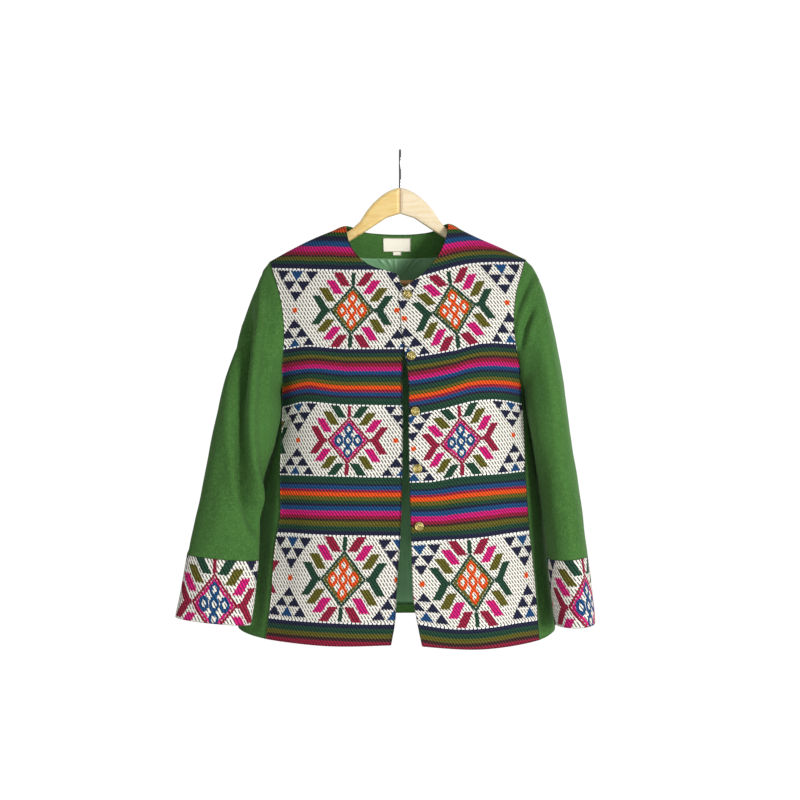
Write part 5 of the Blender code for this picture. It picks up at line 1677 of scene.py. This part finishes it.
def dress_sleeve(side):
    """One wool sleeve and its brocade cuff."""
    name = SIDE_NAMES[side]
    rows, per_station = FINE["sleeve"]
    points = refine(sleeve_grid(side), rows, per_station * SLEEVE_AROUND, closed=True)
    points = ease_edge(side, points, 1 - np.exp(-((np.arange(rows)[:, None] / ARMHOLE_HELD) ** 2)))
    finishes, flat, area = ("wool", "satin"), FLAT_SIZES["sleeve"], SLEEVE_AREA[side]
    dress_panel("sleeve_" + name, points, "wool", finishes, flat, closed=True, outwards=-side, area=area)
    wrist = np.array(SLEEVE_ROWS[side][-1])
    below = np.array(CUFF_ROWS[side][0])
    sections = [wrist + (below - wrist) * CUFF_GAP / (wrist[1] - below[1])] + list(CUFF_ROWS[side])
    angles = [360 * station / SLEEVE_AROUND for station in range(SLEEVE_AROUND)]
    grid = [[section_point(side, row, angle, sections) for angle in angles] for row in range(len(sections))]
    rows, per_station = FINE["cuff"]
    points = ease_edge(side, refine(grid, rows, per_station * SLEEVE_AROUND, closed=True), 1.0)
    cloth = cuff_cloth(side, points)
    finishes, flat = ("brocade", "satin"), FLAT_SIZES["cuff"]
    dress_panel("cuff_" + name, points, "brocade", finishes, flat, closed=True, outwards=-side, cloth=cloth)


def dress_back():
    """The back, and what lies inside it."""
    grid = back_grid()
    rows, columns = FINE["back"]
    flat, arms = FLAT_SIZES["back"], ["hanger_arm_right", "hanger_arm_left"]
    points = dress_panel("back", refine(grid, rows, columns), "wool", ("wool", "wool"), flat, rests_on=arms)
    normals = sheet_normals(points, False, 1)
    row_places = even_steps(grid, rows)
    column_places = even_steps(list(zip(*grid)), columns)

    def inside(name, row_ends, column_ends, inset, wall, finish):
        """A sheet that lies inside the back, between some of its rows and columns."""
        downs, overs = np.linspace(0.0, 1.0, FINE[name][0]), np.linspace(-1.0, 1.0, FINE[name][1])
        creases = CREASE_LINES.get((name, "front"))
        if creases:
            downs, overs = downs**FINER_TOP, overs * 0.5 + overs**3 * 0.5
        down = np.interp(downs, (0.0, 1.0), np.interp(row_ends, row_places, np.arange(rows)))
        over = np.interp(overs, (-1.0, 1.0), np.interp(column_ends, column_places, np.arange(columns)))
        out = between(normals, down[:, None], over[None])
        lies = between(points, down[:, None], over[None]) - out * inset
        if creases:
            across_photo, down_photo = photo_place(lies)
            raised = ripples(lies, len(name)) * RIPPLES["satin"] + RIPPLES["satin"]
            for half_width, *path in creases:
                depth = crease_depth(across_photo, down_photo, half_width, path)
                raised += np.abs(depth) * MILLIMETRE
            raised *= hold_edges(lies.shape[:2], False)
            lies = lies - out * raised[..., None]
        return make_shell(name + "_cloth", lies, wall, (finish, finish))

    last_column = len(grid[0]) - 1
    centre = last_column // 2
    gap_rows = SEAM_GAP / ROW_HEIGHT
    neck = (centre - NECK_COLUMNS, centre + NECK_COLUMNS)
    whole = (0, last_column)
    facing_inset = (WALL + FACING_WALL) / 2 + FACING_GAP
    hem_inset = (WALL + FACING_WALL) / 2 + SEAM_GAP
    lining_inset = (WALL + LINING_WALL) / 2 + SEAM_GAP
    label_inset = facing_inset + (FACING_WALL + LABEL_WALL) / 2 + FACING_GAP
    lining_rows = (FACING_STEPS + gap_rows, BACK_ROWS - 1 - gap_rows)
    hem_rows = (BACK_ROWS - 1 + gap_rows, BACK_ROWS)
    plans = (
        ("neck_facing", (0, FACING_STEPS), neck, facing_inset, FACING_WALL, "wool"),
        ("lining_back", lining_rows, whole, lining_inset, LINING_WALL, "satin"),
        ("hem_band", hem_rows, whole, hem_inset, FACING_WALL, "wool"),
    )
    for name, *lies, finish in plans:
        hang(inside(name, *lies, finish), name, finish, FLAT_SIZES[name], rests_on=["back_cloth"])
    label_foot = LABEL_TOP_Z - LABEL_HEIGHT
    labels = []
    for name, width, top, foot in (
        ("size_tab", TAB_WIDTH, label_foot - SEAM_GAP, TAB_FOOT_Z),
        ("neck_label", LABEL_WIDTH, LABEL_TOP_Z, label_foot),
    ):
        column_ends = [column_at(grid, FACING_STEPS - 1, LABEL_X + half * width / 2) for half in (1, -1)]
        row_ends = [row_at(grid, centre, z) for z in (top, foot)]
        labels.append(inside(name, row_ends, column_ends, label_inset, LABEL_WALL, "label"))
        fit(labels[-1], name)
    flat = (LABEL_WIDTH, LABEL_HEIGHT)


def dress_stud(index, front_points):
    """A press stud's cap: a rolled rim round a small rosette."""
    x, z = STUD_ROWS[index - 1]
    away = np.hypot(front_points[..., 0] - x, front_points[..., 2] - z)
    nearest = np.unravel_index(int(away.argmin()), away.shape)
    normal = Vector(sheet_normals(front_points, False, LEFT)[nearest])
    turns = [2 * math.pi * step / STUD_AROUND for step in range(STUD_AROUND)]
    rim = [(STUD_RADIUS * math.cos(turn), STUD_RADIUS * math.sin(turn)) for turn in turns]
    places = [(0.0, 0.0, STUD_HEIGHT * smooth_curve(*zip(*STUD_PROFILE), 0.0))]
    for ring in range(1, STUD_RINGS + 1):
        share = ring / STUD_RINGS
        level = smooth_curve(*zip(*STUD_PROFILE), share)
        petal = PETAL_HEIGHT * math.exp(-(((share - PETAL_MIDDLE) / PETAL_WIDTH) ** 2))
        for turn, (rim_x, rim_y) in zip(turns, rim):
            height = STUD_HEIGHT * (level + petal * math.cos(PETALS * turn))
            places.append((rim_x * share, rim_y * share, height))
    places += [(rim_x, rim_y, 0.0) for rim_x, rim_y in rim]
    places.append((0.0, 0.0, 0.0))
    last = 1 + STUD_RINGS * STUD_AROUND
    faces = []
    for step in range(STUD_AROUND):
        beside = (step + 1) % STUD_AROUND
        faces.append((0, 1 + step, 1 + beside))
        for near in range(1, last, STUD_AROUND):
            far = near + STUD_AROUND
            faces.append((near + step, far + step, far + beside, near + beside))
        faces.append((len(places) - 1, last + beside, last + step))
    cap = make_piece("stud_%d_cap" % index, places, faces, ["brass"])
    cap.data.transform(normal.to_track_quat("Z", "Y").to_matrix().to_4x4())
    here = Vector((x, front_points[nearest][1], z))
    cap.data.transform(Matrix.Translation(here + normal * (WALL / 2 + STUD_GAP)))
    fit(cap, "stud_%d" % index)


def give_finish(node, finish):
    """Gives a solid that stays its better finish."""
    for slot in bpy.data.objects[node].material_slots:
        slot.material = FINISHES[finish]


front_points = {side: dress_front(side) for side in (RIGHT, LEFT)}
for side in (RIGHT, LEFT):
    dress_side(side)
    dress_sleeve(side)
dress_back()
for index in range(1, len(STUD_ROWS) + 1):
    dress_stud(index, front_points[LEFT])
give_finish("hanger_arm_right", "wood_right")
give_finish("hanger_arm_left", "wood_left")
give_finish("hanger_bar", "wood_bar")
give_finish("hanger_hook", "steel")


# Plain pale floor and soft light
FLOOR_Z = -1.45
FLOOR_RADIUS = 1.3
FLOOR_STEPS = 72

floor_mesh = bpy.data.meshes.new("floor")
floor_turns = [2 * math.pi * step / FLOOR_STEPS for step in range(FLOOR_STEPS)]
floor_edge = [(FLOOR_RADIUS * math.cos(turn), FLOOR_RADIUS * math.sin(turn), FLOOR_Z) for turn in floor_turns]
floor_mesh.from_pydata(floor_edge, [], [range(FLOOR_STEPS)])
floor = bpy.data.objects.new("floor", floor_mesh)
bpy.context.scene.collection.objects.link(floor)
floor_values = {"Roughness": 0.9, "Base Color": (0.98, 0.98, 0.98, 1.0)}
floor_mesh.materials.append(new_material("floor", floor_values)[0])

# The backdrop is white to look at, and lights the jacket less than it shows
BACKDROP = 1.04
SKY_LIGHT = 0.52
world = bpy.data.worlds.new("studio")
bpy.context.scene.world = world
world.use_nodes = True
background = world.node_tree.nodes["Background"]
seen = add_node(world.node_tree, "LightPath").outputs["Is Camera Ray"]
levels = {"Value": seen, "To Min": SKY_LIGHT, "To Max": BACKDROP}
strength = add_node(world.node_tree, "MapRange", levels).outputs["Result"]
fill(world.node_tree, background, {"Color": (1.0, 1.0, 1.0, 1.0), "Strength": strength})

# Lights: name, place, what it points at, side length, power
LIGHTS = (
    ("key", (1.62, -2.36, -0.32), (0.0, 0.0, -0.42), 0.6, 75.0),
    ("fill", (-0.5, -2.0, -1.2), (0.0, 0.0, -0.50), 0.9, 5.0),
    ("back", (2.1, 2.1, 0.3), (0.0, 0.0, -0.42), 0.7, 55.0),
)
for name, place, aim, size, power in LIGHTS:
    light = bpy.data.lights.new(name, "AREA")
    light.size = size
    light.energy = power
    holder = bpy.data.objects.new(name, light)
    holder.location = place
    holder.rotation_mode = "QUATERNION"
    holder.rotation_quaternion = (Vector(aim) - Vector(place)).to_track_quat("-Z", "Y")
    bpy.context.scene.collection.objects.link(holder)

bpy.context.scene.view_settings.view_transform = "Standard"

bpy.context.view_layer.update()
